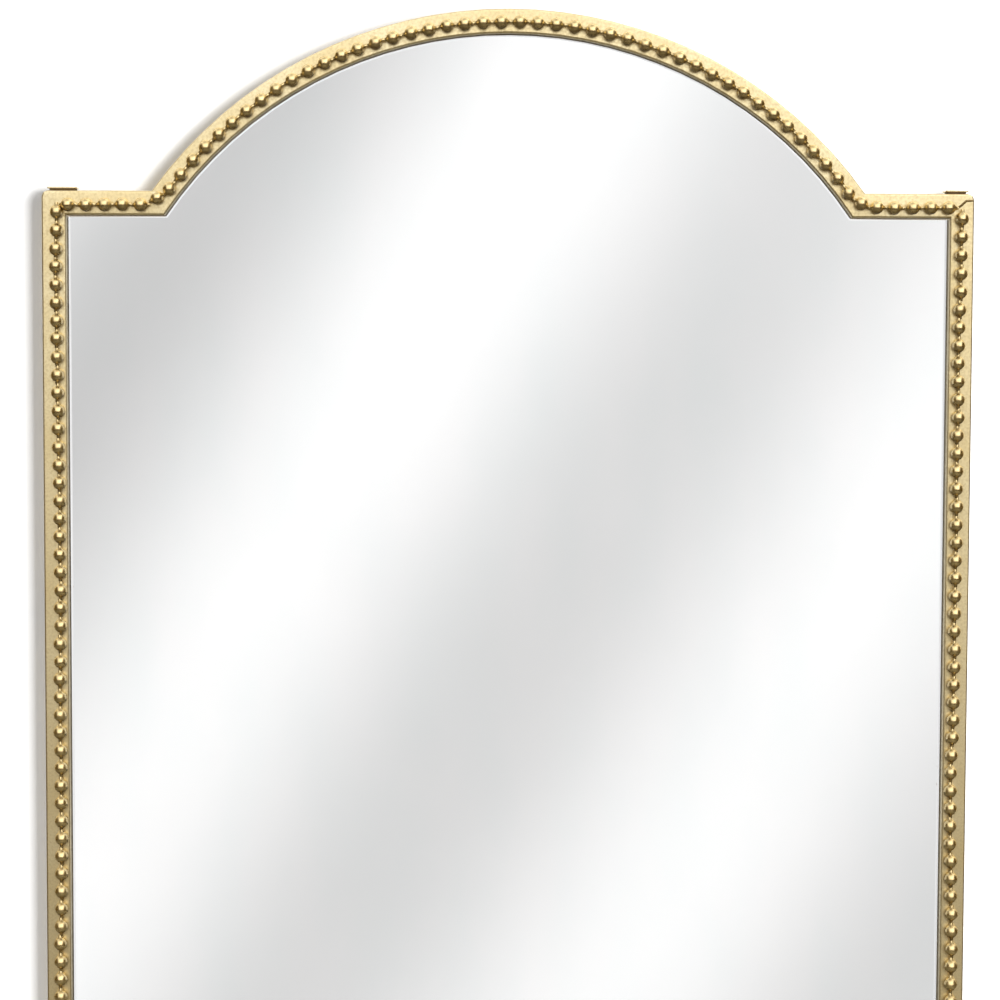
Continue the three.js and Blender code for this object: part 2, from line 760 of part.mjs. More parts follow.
/** The strap of a hanger: flat on the tube, its top end curled round the ring's bar. */
function strapGeometry() {
  const inner = RING_BAR / 2 + PIVOT_GAP;
  const outer = inner + STRAP_THICKNESS;
  const tip = -Math.PI / 2 - THREE.MathUtils.degToRad(CURL_TURN);
  const shape = new THREE.Shape();
  shape.moveTo(STRAP_LENGTH, -outer);
  shape.lineTo(0, -outer);
  shape.absarc(0, 0, outer, -Math.PI / 2, tip, true);
  shape.absarc(0, 0, inner, tip, -Math.PI / 2, false);
  shape.lineTo(STRAP_LENGTH, -inner);
  shape.closePath();
  const strap = new THREE.ExtrudeGeometry(shape, {
    depth: STRAP_WIDTH,
    bevelEnabled: false,
    curveSegments: BAR_SIDES,
  });
  strap.translate(0, 0, -STRAP_WIDTH / 2);
  const turned = new THREE.Matrix4().makeBasis(
    new THREE.Vector3(0, 0, -1),
    new THREE.Vector3(0, 1, 0),
    new THREE.Vector3(1, 0, 0),
  );
  strap.applyMatrix4(turned);
  const head = HANGER_SCREW_HEAD / 2 + SCREW_GAP;
  const shank = HANGER_SCREW_SHANK / 2 + SCREW_GAP;
  const sinks = Object.values(STRAP_SCREW_DROPS).map((drop) => {
    const profile = [
      [0, -outer - CUTTER_OVERRUN],
      [shank, -outer - CUTTER_OVERRUN],
      [shank, -inner - HEAD_SINK - (head - shank)],
      [head, -inner - HEAD_SINK],
      [head, 0],
      [0, 0],
    ].map(([r, y]) => new THREE.Vector2(r, y));
    return new THREE.LatheGeometry(profile, SCREW_SIDES).translate(0, 0, -drop);
  });
  return cut(strap, sinks);
}

/** The ring: a straight bar through the curl, closed by a round bow below. */
function ringGeometry() {
  const half = RING_WIDTH / 2;
  const bend = RING_BEND_RADIUS;
  const path = new THREE.Path();
  path.moveTo(0, 0);
  path.lineTo(half - bend, 0);
  path.absarc(half - bend, -bend, bend, Math.PI / 2, 0, true);
  path.absarc(0, half - RING_DROP, half, 0, -Math.PI, true);
  path.absarc(bend - half, -bend, bend, Math.PI, Math.PI / 2, true);
  path.lineTo(0, 0);
  const points = path.getPoints(BAR_SIDES / 2);
  points.pop();
  const distinct = points.filter(
    (point, i) => i === 0 || point.distanceTo(points[i - 1]) > MERGE_DISTANCE,
  );
  const rings = distinct.map((point, i) => {
    const before = distinct[(i + distinct.length - 1) % distinct.length];
    const after = distinct[(i + 1) % distinct.length];
    const into = point.clone().sub(before).normalize();
    const out = after.clone().sub(point).normalize();
    const heading = into.clone().add(out).normalize();
    const stretch = 1 / heading.dot(out);
    return Array.from({ length: BAR_SIDES }, (_, k) => {
      const angle = (2 * Math.PI * (k + 0.5)) / BAR_SIDES;
      const sideways = (RING_BAR / 2) * Math.cos(angle) * stretch;
      return new THREE.Vector3(
        point.x - heading.y * sideways,
        (RING_BAR / 2) * Math.sin(angle),
        point.y + heading.x * sideways,
      );
    });
  });
  return loft(rings, true);
}

/** A hanger on a side rail: strap, ring and two screws. Its group stands at the ring's pivot. */
function hangerGroup(side) {
  const word = side < 0 ? "left" : "right";
  const group = new THREE.Group();
  group.position.set(side * (halfWidth - TUBE_FACE / 2), pivotY, pivotZ);
  group.add(piece("hanger_strap_" + word, strapGeometry(), zincPlate()));
  group.add(piece("hanger_ring_" + word, ringGeometry(), zincPlate()));
  for (const [level, drop] of Object.entries(STRAP_SCREW_DROPS)) {
    const name = "hanger_screw_" + word + "_" + level;
    const headTop = strapBack - HEAD_SINK - pivotY;
    group.add(piece(name, flatScrew(), zincPlate(), 0, headTop, -drop));
  }
  return group;
}

// ---------------------------------------------------------------- rubber

/** A round bumper, its wide base at y = 0 and its flat end towards the wall. */
function bumperGeometry() {
  const radius = BUMPER_DIAMETER / 2;
  const profile = [
    [0, 0],
    [radius, 0],
    [radius, BUMPER_HEIGHT - BUMPER_CHAMFER],
    [radius - BUMPER_CHAMFER, BUMPER_HEIGHT],
    [0, BUMPER_HEIGHT],
  ].map(([r, y]) => new THREE.Vector2(r, y));
  return new THREE.LatheGeometry(profile, RUBBER_SIDES);
}

/** The bumpers that rest on the wall and the pads that rest on the floor. */
function rubberGroup() {
  const group = new THREE.Group();
  const base = rearY + FACE_GAP;
  const middle = TUBE_FACE / 2;
  for (const [side, word] of [[-1, "left"], [1, "right"]]) {
    const angle = THREE.MathUtils.degToRad(side * TOP_BUMPER_ANGLE);
    const x = (ARCH_RADIUS - middle) * Math.sin(angle);
    const z = archCentre + (ARCH_RADIUS - middle) * Math.cos(angle);
    const low = frameBottom + LOW_BUMPER_HEIGHT;
    const lowX = side * (halfWidth - middle);
    group.add(piece("wall_bumper_top_" + word, bumperGeometry(), clearRubber(), x, base, z));
    group.add(piece("wall_bumper_low_" + word, bumperGeometry(), clearRubber(), lowX, base, low));
    const pad = new THREE.BoxGeometry(FLOOR_PAD_LENGTH, FLOOR_PAD_WIDTH, FLOOR_PAD_THICKNESS);
    const padX = side * (halfWidth - FLOOR_PAD_INSET);
    const padY = faceY + TUBE_DEPTH / 2;
    const padZ = FLOOR_PAD_THICKNESS / 2;
    group.add(piece("floor_pad_" + word, pad, blackRubber(), padX, padY, padZ));
  }
  return group;
}

// ---------------------------------------------------------------- the whole mirror

const mirror = new THREE.Group();
mirror.add(frameGroup(), beadGroup(), panelGroup(), lugGroup());
mirror.add(hangerGroup(-1), hangerGroup(1), rubberGroup());

export default mirror;
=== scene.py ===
"""The looks of a leaning floor mirror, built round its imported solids.

An arched frame of gold-lacquered steel tube carries runs of rolled beads on its
face and holds a silvered glass panel, with a fibreboard back, steel lugs, two
D-ring hangers, wall bumpers and floor pads behind and below it. Lengths are in
metres in the frame of the solids: X to the right, Y away from the viewer, Z up.
"""

from __future__ import annotations

import json
import logging
import math
import random
from collections.abc import Callable, Iterable, Iterator
from contextlib import contextmanager
from dataclasses import dataclass, field
from enum import Enum

import bmesh
import bpy
from mathutils import Matrix, Vector

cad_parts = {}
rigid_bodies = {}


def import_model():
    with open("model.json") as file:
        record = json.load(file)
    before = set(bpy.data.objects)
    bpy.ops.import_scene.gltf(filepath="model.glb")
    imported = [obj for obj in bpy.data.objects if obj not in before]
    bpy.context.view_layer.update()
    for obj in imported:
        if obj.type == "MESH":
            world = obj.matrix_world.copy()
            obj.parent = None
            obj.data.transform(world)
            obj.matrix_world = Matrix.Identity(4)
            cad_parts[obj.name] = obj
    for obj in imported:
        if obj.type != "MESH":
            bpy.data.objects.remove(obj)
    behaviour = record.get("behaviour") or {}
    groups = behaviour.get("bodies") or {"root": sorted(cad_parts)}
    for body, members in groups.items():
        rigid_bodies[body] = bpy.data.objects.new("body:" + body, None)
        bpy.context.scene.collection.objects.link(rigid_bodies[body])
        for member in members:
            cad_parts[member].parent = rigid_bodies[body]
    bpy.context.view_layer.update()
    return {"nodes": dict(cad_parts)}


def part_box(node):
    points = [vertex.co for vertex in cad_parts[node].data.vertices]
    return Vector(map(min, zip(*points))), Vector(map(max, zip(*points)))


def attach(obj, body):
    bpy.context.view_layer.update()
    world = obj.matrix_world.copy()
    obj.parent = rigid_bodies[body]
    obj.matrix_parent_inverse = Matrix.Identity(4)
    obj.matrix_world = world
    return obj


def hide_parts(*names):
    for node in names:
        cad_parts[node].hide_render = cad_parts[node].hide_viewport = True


for starter in list(bpy.data.objects):
    bpy.data.objects.remove(starter)

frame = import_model()

MM = 0.001
SAME_POINT = 0.001 * MM  # points that stand closer are merged
SHARP_ANGLE = 30.0  # degrees: an edge that turns by less is not rounded
SMOOTH_ANGLE = 40.0  # degrees: faces that turn by less are shaded as one
WELD_ANGLE = 60.0  # the same, on the coarse bar of a weld
LOG = logging.getLogger("leaning_mirror")


class Body(Enum):
    """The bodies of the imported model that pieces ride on."""

    MIRROR = "mirror"
    RING_LEFT = "ring_left"
    RING_RIGHT = "ring_right"


class Slot(Enum):
    """The material slots of the record."""

    LACQUER = "gold_lacquer"
    BEADS = "gold_beads"
    GLASS = "silvered_glass"
    FILM = "backing_film"
    BOARD = "fibre_board"
    TAPE = "foam_tape"
    ZINC = "zinc_plate"
    BLACK_RUBBER = "black_rubber"
    CLEAR_RUBBER = "clear_rubber"


class Side(Enum):
    """The two sides of the mirror, with the sign of X on each."""

    LEFT = -1
    RIGHT = 1

    @property
    def word(self) -> str:
        """The side's name as it stands in the names of pieces."""
        return self.name.lower()


class Pick(Enum):
    """What an edit-mode selection is made of."""

    VERTS = "VERT"
    FACES = "FACE"


# ---------------------------------------------------------------- bench tools


def clear_selection() -> None:
    """Go back to object mode with nothing selected."""
    if bpy.context.object and bpy.context.object.mode != "OBJECT":
        bpy.ops.object.mode_set(mode="OBJECT")
    bpy.ops.object.select_all(action="DESELECT")


def take(piece: bpy.types.Object) -> None:
    """Select one piece alone and make it the active one."""
    clear_selection()
    piece.select_set(True)
    bpy.context.view_layer.objects.active = piece


def begin(
    name: str,
    add: Callable[..., set[str]],
    stretch: tuple[float, float, float] = (1.0, 1.0, 1.0),
    **settings: object,
) -> bpy.types.Object:
    """Start a piece from a primitive and put its place into its mesh.

    Args:
        name: Name of the new piece.
        add: The primitive's operator.
        stretch: Scale of the primitive along its own axes.
        **settings: Settings of the operator, such as size and location.

    Returns:
        The new object, at the origin, selected alone.
    """
    clear_selection()
    add(**settings)
    piece = bpy.context.object
    piece.name = name
    piece.data.name = name
    piece.scale = stretch
    bpy.ops.object.transform_apply(location=True, rotation=True, scale=True)
    return piece


@contextmanager
def editing(piece: bpy.types.Object) -> Iterator[None]:
    """Hold a piece in edit mode for the length of a with block."""
    take(piece)
    bpy.ops.object.mode_set(mode="EDIT")
    yield
    bpy.ops.object.mode_set(mode="OBJECT")


def select(piece: bpy.types.Object, what: Pick, test: Callable[[Vector], bool]) -> None:
    """Select the parts of a piece in edit mode that pass a test.

    Args:
        piece: The piece in edit mode.
        what: Vertices or faces.
        test: Says yes or no to the middle of a part.
    """
    bpy.ops.mesh.select_mode(type=what.value)
    bpy.ops.mesh.select_all(action="DESELECT")
    mesh = bmesh.from_edit_mesh(piece.data)
    if what is Pick.VERTS:
        middles = [(vertex, vertex.co) for vertex in mesh.verts]
    else:
        middles = [(face, face.calc_center_median()) for face in mesh.faces]
    for part, middle in middles:
        if test(middle):
            part.select_set(True)
    mesh.select_flush_mode()
    bmesh.update_edit_mesh(piece.data)


def everything() -> None:
    """Select the whole mesh in edit mode."""
    bpy.ops.mesh.select_all(action="SELECT")


def apply_modifier(piece: bpy.types.Object, kind: str, **settings: object) -> None:
    """Add a modifier with its settings and apply it at once."""
    take(piece)
    made = piece.modifiers.new(kind.lower(), kind)
    for key, value in settings.items():
        setattr(made, key, value)
    bpy.ops.object.modifier_apply(modifier=made.name)


def soften(piece: bpy.types.Object, width: float, segments: int = 2) -> None:
    """Round the sharp edges of a piece and shade it smooth between flat faces.

    Args:
        piece: The piece to soften.
        width: Width of the rounding.
        segments: Faces across each rounding.
    """
    limits = {"limit_method": "ANGLE", "angle_limit": math.radians(SHARP_ANGLE)}
    apply_modifier(piece, "BEVEL", width=width, segments=segments, **limits)
    shade(piece)


def shade(piece: bpy.types.Object, angle: float = SMOOTH_ANGLE) -> None:
    """Shade a piece smooth up to an angle, with its large flat faces kept flat."""
    take(piece)
    bpy.ops.object.shade_smooth_by_angle(angle=math.radians(angle))
    apply_modifier(piece, "WEIGHTED_NORMAL", mode="FACE_AREA", keep_sharp=True)


def outward(piece: bpy.types.Object) -> None:
    """Merge the doubles of a piece and turn its faces outwards."""
    with editing(piece):
        everything()
        bpy.ops.mesh.remove_doubles(threshold=SAME_POINT)
        bpy.ops.mesh.normals_make_consistent(inside=False)


def bar(name: str, stations: list[tuple[float, float]], sides: int) -> bpy.types.Object:
    """Model a closed bar along X that swells and tapers.

    Args:
        name: Name of the bar.
        stations: Places along X from end to end, each with the radius there.
        sides: Faces round the bar.

    Returns:
        The bar.
    """
    made = begin(
        name,
        bpy.ops.mesh.primitive_circle_add,
        vertices=sides,
        radius=stations[0][1],
        fill_type="NGON",
        location=(stations[0][0], 0.0, 0.0),
        rotation=(0.0, math.pi / 2, 0.0),
    )
    with editing(made):
        everything()
        for (here, size), (there, next_size) in zip(stations, stations[1:]):
            step = {"value": (there - here, 0.0, 0.0)}
            bpy.ops.mesh.extrude_region_move(TRANSFORM_OT_translate=step)
            grow = next_size / size
            bpy.ops.transform.resize(value=(1.0, grow, grow), center_override=(there, 0.0, 0.0))
    outward(made)
    return made


def join(name: str, pieces: Iterable[bpy.types.Object]) -> bpy.types.Object:
    """Join pieces into one, which takes the name."""
    pieces = list(pieces)
    take(pieces[0])
    for piece in pieces:
        piece.select_set(True)
    bpy.ops.object.join()
    pieces[0].name = name
    pieces[0].data.name = name
    return pieces[0]


def own_copy(piece: bpy.types.Object, name: str, place: Matrix) -> bpy.types.Object:
    """A copy of a piece with its own mesh, which is moved by a matrix."""
    made = piece.copy()
    made.data = piece.data.copy()
    made.name = name
    made.data.name = name
    made.data.transform(place)
    bpy.context.collection.objects.link(made)
    return made


def merged_copy(node: str, name: str) -> bpy.types.Object:
    """A copy of a solid with its triangles merged into whole faces.

    Args:
        node: Name of the solid.
        name: Name of the copy.

    Returns:
        The copy, at the origin, with no material.
    """
    source = frame["nodes"][node]
    made = bpy.data.objects.new(name, source.data.copy())
    made.data.name = name
    made.data.materials.clear()
    made.data.transform(source.matrix_world)
    bpy.context.collection.objects.link(made)
    with editing(made):
        everything()
        bpy.ops.mesh.remove_doubles(threshold=0.002 * MM)
        bpy.ops.mesh.dissolve_limited(angle_limit=math.radians(0.5))
    return made


# ------------------------------------------------------------------- finishes

Tree = bpy.types.NodeTree
Socket = bpy.types.NodeSocket

MIX_A, MIX_B, MIX_OUT = 6, 7, 2  # the colour sockets of a Mix node
NOISE_SPAN = {"From Min": 0.3, "From Max": 0.7}  # where nearly all of a noise lies


def linear(colour: str) -> tuple[float, float, float, float]:
    """Turn an sRGB hex colour into the linear numbers that a shader takes."""
    parts = [int(colour[i : i + 2], 16) / 255 for i in (1, 3, 5)]
    red, green, blue = (p / 12.92 if p <= 0.04045 else ((p + 0.055) / 1.055) ** 2.4 for p in parts)
    return red, green, blue, 1.0


def add_node(
    tree: Tree,
    kind: str,
    inputs: dict[str | int, object] | None = None,
    give: str | int = 0,
    **settings: object,
) -> Socket | None:
    """Add a node with its settings, its values and its links.

    Args:
        tree: The node tree.
        kind: The node's type name, without the ShaderNode in front.
        inputs: Values, or the sockets to link from, by input name or number.
        give: Name or number of the output that is wanted.
        **settings: The node's own settings.

    Returns:
        The output, or None from a node that has none.
    """
    made = tree.nodes.new(f"ShaderNode{kind}")
    for key, value in settings.items():
        setattr(made, key, value)
    for key, value in (inputs or {}).items():
        if isinstance(value, Socket):
            tree.links.new(value, made.inputs[key])
        else:
            made.inputs[key].default_value = value
    return made.outputs[give] if made.outputs else None


def per_metre(size: float) -> float:
    """The scale of a pattern whose features are about a size across."""
    return 1.0 / size


@dataclass(frozen=True)
class Layer:
    """A second colour that shows where a noise pattern is strong."""

    colour: str
    size: float  # of the pattern's features
    start: float  # the noise where the colour starts to show
    full: float  # the noise where it shows most
    most: float = 1.0  # its share there
    octaves: float = 3.0  # of ever finer noise
    stretch: tuple[float, float, float] = (1.0, 1.0, 1.0)

    def lay(
        self, tree: Tree, place: Socket, under: object, within: Socket | None = None
    ) -> tuple[Socket, Socket]:
        """Lay the colour over what is under it.

        Args:
            tree: The material's node tree.
            place: The coordinates that the pattern follows.
            under: The colour below, as numbers or a socket.
            within: A share that limits the layer to part of the surface.

        Returns:
            The mixed colour, and the bare noise.
        """
        drawn = add_node(tree, "Mapping", {"Vector": place, "Scale": self.stretch})
        pattern = {"Vector": drawn, "Scale": per_metre(self.size), "Detail": self.octaves}
        noise = add_node(tree, "TexNoise", pattern)
        reach = {"From Min": self.start, "From Max": self.full, "To Max": self.most}
        share = add_node(tree, "MapRange", {"Value": noise, **reach})
        if within is not None:
            share = add_node(tree, "Math", {0: share, 1: within}, operation="MULTIPLY")
        colours = {0: share, MIX_A: under, MIX_B: linear(self.colour)}
        return add_node(tree, "Mix", colours, MIX_OUT, data_type="RGBA"), noise


@dataclass(frozen=True)
class Finish:
    """A surface: what it is made of and how it was made, as one material."""

    name: str
    colour: str
    roughness: float = 0.5
    metallic: float = 0.0
    layers: tuple[Layer, ...] = ()
    bump: float = 0.0  # strength of the relief, or 0 for none
    relief: float = 0.1 * MM  # depth of the relief
    sheen: tuple[float, float] = (0.0, 0.0)  # how far the roughness falls and rises

    def material(self) -> bpy.types.Material:
        """Give the finish's material, which is made once and then shared."""
        found = bpy.data.materials.get(self.name)
        if found:
            return found
        made = bpy.data.materials.new(self.name)
        made.use_nodes = True
        made.diffuse_color = linear(self.colour)
        tree = made.node_tree
        tree.nodes.clear()
        looks = {"Roughness": self.roughness, "Metallic": self.metallic}
        looks.update(self.detail(tree, add_node(tree, "TexCoord", give="Object")))
        add_node(tree, "OutputMaterial", {"Surface": add_node(tree, "BsdfPrincipled", looks)})
        return made

    def detail(self, tree: Tree, place: Socket) -> dict[str, object]:
        """Add what sets the surface apart: its layers, and relief from the last of them.

        Args:
            tree: The material's node tree.
            place: The coordinates that every pattern follows.

        Returns:
            Values and sockets for the shader, by input name.
        """
        colour, pattern = linear(self.colour), None
        for layer in self.layers:
            colour, pattern = layer.lay(tree, place, colour)
        return {"Base Color": colour, **self.worked(tree, pattern)}

    def worked(
        self, tree: Tree, pattern: Socket | None, uneven: Socket | None = None
    ) -> dict[str, object]:
        """Work patterns into the surface as relief and as an uneven sheen.

        Args:
            tree: The material's node tree.
            pattern: The pattern that stands out.
            uneven: The pattern of the sheen, if the sheen is uneven.

        Returns:
            The normal and the roughness, where they are wanted.
        """
        looks = {}
        if self.bump:
            relief = {"Height": pattern, "Strength": self.bump, "Distance": self.relief}
            looks["Normal"] = add_node(tree, "Bump", relief)
        if uneven is not None:
            reach = {
                "To Min": self.roughness - self.sheen[0],
                "To Max": self.roughness + self.sheen[1],
            }
            looks["Roughness"] = add_node(
                tree, "MapRange", {"Value": uneven, **NOISE_SPAN, **reach}
            )
        return looks


@dataclass(frozen=True)
class SprayedLacquer(Finish):
    """Champagne gold lacquer with fine metal flake, sprayed on primed steel.

    It gives a satin glow that turns from cream where the light falls to deep
    straw in the shade, with the fine stipple that a spray gun leaves.
    """

    name: str = "gold_lacquer_sprayed"
    colour: str = "#F4E4B8"
    roughness: float = 0.37
    metallic: float = 1.0
    bump: float = 0.3
    relief: float = 0.08 * MM
    sheen: tuple[float, float] = (0.05, 0.07)
    clouds: Layer = Layer("#ECD8A5", 45 * MM, 0.35, 0.65)
    # The real stipple is about 0.5 mm across, too fine for the picture: it is drawn coarser.
    flecks: Layer = Layer("#D6C18E", 2 * MM, 0.4, 0.72, most=0.65, octaves=2.0)
    scuffs: Layer = Layer("#8C7A57", 4 * MM, 0.58, 0.72, 0.5, 4.0, (1.0, 1.0, 0.25))
    scuff_height: float = 70 * MM
    coat: float = 0.45
    coat_roughness: float = 0.3

    def detail(self, tree: Tree, place: Socket) -> dict[str, object]:
        """Clouds of deeper gold, a stippled coat, and scuffs near the floor."""
        colour, _ = self.clouds.lay(tree, place, linear(self.colour))
        colour, stipple = self.flecks.lay(tree, place, colour)
        height = add_node(tree, "SeparateXYZ", {0: place}, "Z")
        fading = {"From Max": self.scuff_height, "To Min": 1.0, "To Max": 0.0}
        low = add_node(tree, "MapRange", {"Value": height, **fading})
        colour, _ = self.scuffs.lay(tree, place, colour, within=low)
        return {
            "Base Color": colour,
            "Coat Weight": self.coat,
            "Coat Roughness": self.coat_roughness,
            **self.worked(tree, stipple, stipple),
        }


@dataclass(frozen=True)
class BeadGilding(Finish):
    """The same gold lacquer on the rolled beads, where it flows out and shines.

    The balls are glossier than the tube. Dark brown is painted into the creases
    and on the undersides as painted shade, stronger in patches, which parts bead from bead.
    """

    name: str = "gold_lacquer_beads"
    colour: str = "#F0D8A0"
    # painted shade: the dark brown laid in the creases and on the undersides of the balls
    wash: str = "#5E4420"
    roughness: float = 0.27
    metallic: float = 1.0
    bump: float = 0.45
    relief: float = 0.3 * MM
    sheen: tuple[float, float] = (0.05, 0.1)
    # A rolled bead is dented at about a quarter of its width.
    dent: float = 2.6 * MM
    patch: float = 6 * MM
    # how much of the painted shade shows, from patch to patch
    wash_least: float = 0.3
    wash_most: float = 0.6

    def detail(self, tree: Tree, place: Socket) -> dict[str, object]:
        """Painted shade in the creases and on the undersides, and a slightly uneven roll on the
        balls.
        """
        # painted shade: dark brown where the balls meet their necks and where they face down
        crease = add_node(tree, "Attribute", give="Fac", attribute_name="crease")
        below = add_node(tree, "Attribute", give="Fac", attribute_name="underside")
        kept = add_node(tree, "Math", {0: crease, 1: below}, operation="MAXIMUM")
        pattern = {"Vector": place, "Scale": per_metre(self.patch), "Detail": 3.0}
        patches = add_node(tree, "TexNoise", pattern)
        reach = {"To Min": self.wash_least, "To Max": self.wash_most}
        left = add_node(tree, "MapRange", {"Value": patches, **NOISE_SPAN, **reach})
        shade_amount = add_node(tree, "Math", {0: kept, 1: left}, operation="MULTIPLY")
        dents = add_node(tree, "TexNoise", {"Vector": place, "Scale": per_metre(self.dent)})
        colours = {0: shade_amount, MIX_A: linear(self.colour), MIX_B: linear(self.wash)}
        colour = add_node(tree, "Mix", colours, MIX_OUT, data_type="RGBA")
        return {"Base Color": colour, **self.worked(tree, dents, patches)}


@dataclass(frozen=True)
class GroundWeld(Finish):
    """A weld that was ground back and sprayed over.

    A darker, rougher line with darker specks. Its dark colour is partly the lacquer sunk into the
    seam and partly painted shade for the shadow in the crack along it.
    """

    name: str = "gold_lacquer_weld"
    # partly lacquer sunk into the seam, partly painted shade: the shadow in the seam's crack
    colour: str = "#8A7248"
    roughness: float = 0.55
    metallic: float = 0.8
    bump: float = 0.5
    relief: float = 0.2 * MM
    layers: tuple[Layer, ...] = (Layer("#5E4B2C", 1.6 * MM, 0.35, 0.65),)


@dataclass(frozen=True)
class FloatGlass(Finish):
    """Clear float glass with ground edges.

    Nearly invisible from the front: its edges and its own reflections give
    the mirror its depth, with a trace of haze where the glass was wiped.
    """

    name: str = "float_glass_clear"
    colour: str = "#FFFFFF"
    roughness: float = 0.0
    refraction: float = 1.52
    layers: tuple[Layer, ...] = (
        Layer("#FDFEFE", 60 * MM, 0.4, 0.75, stretch=(1.0, 1.0, 0.35)),
    )

    def detail(self, tree: Tree, place: Socket) -> dict[str, object]:
        """A clear body under the haze."""
        clear = {"Transmission Weight": 1.0, "IOR": self.refraction}
        return super().detail(tree, place) | clear


@dataclass(frozen=True)
class Silvering(Finish):
    """Chemically deposited silver on the back of the glass.

    A clean, cool mirror with the faintest clouds in it.
    """

    name: str = "silver_deposited"
    colour: str = "#FFFFFF"
    roughness: float = 0.0
    metallic: float = 1.0
    layers: tuple[Layer, ...] = (Layer("#FDFDFD", 120 * MM, 0.3, 0.7, octaves=2.0),)


@dataclass(frozen=True)
class ScrimFilm(Finish):
    """Polyester safety film with a woven scrim, glued to the back of the glass.

    A pale grey skin with the fine square print of its threads.
    """

    name: str = "safety_film_polyester"
    colour: str = "#C9CED0"
    thread_colour: str = "#E6E9EA"
    roughness: float = 0.42
    bump: float = 0.3
    thread_spacing: float = 3 * MM
    thread_edge: float = 0.8  # the height of the wave where a thread starts

    def detail(self, tree: Tree, place: Socket) -> dict[str, object]:
        """The threads of the scrim, crosswise and lengthwise."""
        bands = math.tau / 20 / self.thread_spacing  # a wave texture runs 20 radians a metre
        wave = {"Vector": place, "Scale": bands}
        threads = [
            add_node(tree, "TexWave", wave, "Fac", bands_direction=axis) for axis in ("X", "Z")
        ]
        weave = add_node(tree, "Math", {0: threads[0], 1: threads[1]}, operation="MAXIMUM")
        raised = add_node(tree, "MapRange", {"Value": weave, "From Min": self.thread_edge})
        colours = {0: raised, MIX_A: linear(self.colour), MIX_B: linear(self.thread_colour)}
        colour = add_node(tree, "Mix", colours, MIX_OUT, data_type="RGBA")
        return {"Base Color": colour, **self.worked(tree, weave)}


@dataclass(frozen=True)
class FibreBoard(Finish):
    """Medium density fibreboard, sanded and left bare.

    A warm brown board: broad clouds from the press, then pale fibres pressed
    flat one way and dark ones the other.
    """

    name: str = "fibreboard_sanded"
    colour: str = "#B9925F"
    roughness: float = 0.78
    bump: float = 0.35
    relief: float = 0.12 * MM
    # A real fibre is about 0.1 mm thick: bundles of them are drawn, so that they show.
    layers: tuple[Layer, ...] = (
        Layer("#A98253", 90 * MM, 0.35, 0.65),
        Layer("#CBA978", 1.8 * MM, 0.5, 0.72, 0.7, 4.0, (1.0, 1.0, 0.35)),
        Layer("#92703F", 1.8 * MM, 0.5, 0.72, 0.7, 4.0, (0.35, 1.0, 1.2)),
    )


@dataclass(frozen=True)
class FoamTape(Finish):
    """Double-sided polyethylene foam tape: soft white foam with closed cells."""

    name: str = "foam_tape_polyethylene"
    colour: str = "#E9E7E0"
    pit_colour: str = "#CFCCC2"
    roughness: float = 0.85
    bump: float = 0.4
    cell: float = 0.6 * MM
    cell_wall: float = 0.6  # how far out in a cell its wall is

    def detail(self, tree: Tree, place: Socket) -> dict[str, object]:
        """Foam cells about half a millimetre across."""
        cells = add_node(tree, "TexVoronoi", {"Vector": place, "Scale": per_metre(self.cell)})
        walls = add_node(tree, "MapRange", {"Value": cells, "From Max": self.cell_wall})
        colours = {0: walls, MIX_A: linear(self.pit_colour), MIX_B: linear(self.colour)}
        colour = add_node(tree, "Mix", colours, MIX_OUT, data_type="RGBA")
        return {"Base Color": colour, **self.worked(tree, cells)}


@dataclass(frozen=True)
class ZincPlating(Finish):
    """Bright zinc plating on pressed steel.

    A cool grey metal with a faint bluish bloom and fine rub marks.
    """

    name: str = "zinc_plated_steel"
    colour: str = "#C6CBCF"
    roughness: float = 0.3
    metallic: float = 1.0
    bump: float = 0.15
    relief: float = 0.04 * MM
    sheen: tuple[float, float] = (0.08, 0.14)
    bloom: Layer = Layer("#A9AFB6", 5 * MM, 0.35, 0.65)
    # Rub marks are finer than this in truth: they are drawn as wide as they need to show.
    rub: float = 0.8 * MM
    rub_stretch: tuple[float, float, float] = (1.0, 1.0, 0.2)

    def detail(self, tree: Tree, place: Socket) -> dict[str, object]:
        """Bloom in patches and rub marks along the part."""
        colour, _ = self.bloom.lay(tree, place, linear(self.colour))
        drawn = add_node(tree, "Mapping", {"Vector": place, "Scale": self.rub_stretch})
        pattern = {"Vector": drawn, "Scale": per_metre(self.rub), "Detail": 3.0}
        rubs = add_node(tree, "TexNoise", pattern)
        return {"Base Color": colour, **self.worked(tree, rubs, rubs)}


@dataclass(frozen=True)
class MouldedRubber(Finish):
    """Moulded rubber with a fine grain and a grey bloom of dust."""

    name: str = "rubber_moulded_black"
    colour: str = "#26262A"
    dust: str = "#5A5956"
    roughness: float = 0.72
    bump: float = 0.3
    relief: float = 0.08 * MM
    clear: float = 0.0
    grain: float = 0.7 * MM
    patch: float = 9 * MM

    def detail(self, tree: Tree, place: Socket) -> dict[str, object]:
        """A grain from the mould and dust in soft patches."""
        dusting = Layer(self.dust, self.patch, 0.45, 0.7, most=0.6, octaves=4.0)
        colour, _ = dusting.lay(tree, place, linear(self.colour))
        grain = add_node(tree, "TexNoise", {"Vector": place, "Scale": per_metre(self.grain)})
        return {
            "Base Color": colour,
            "Transmission Weight": self.clear,
            **self.worked(tree, grain),
        }


LACQUER = SprayedLacquer()
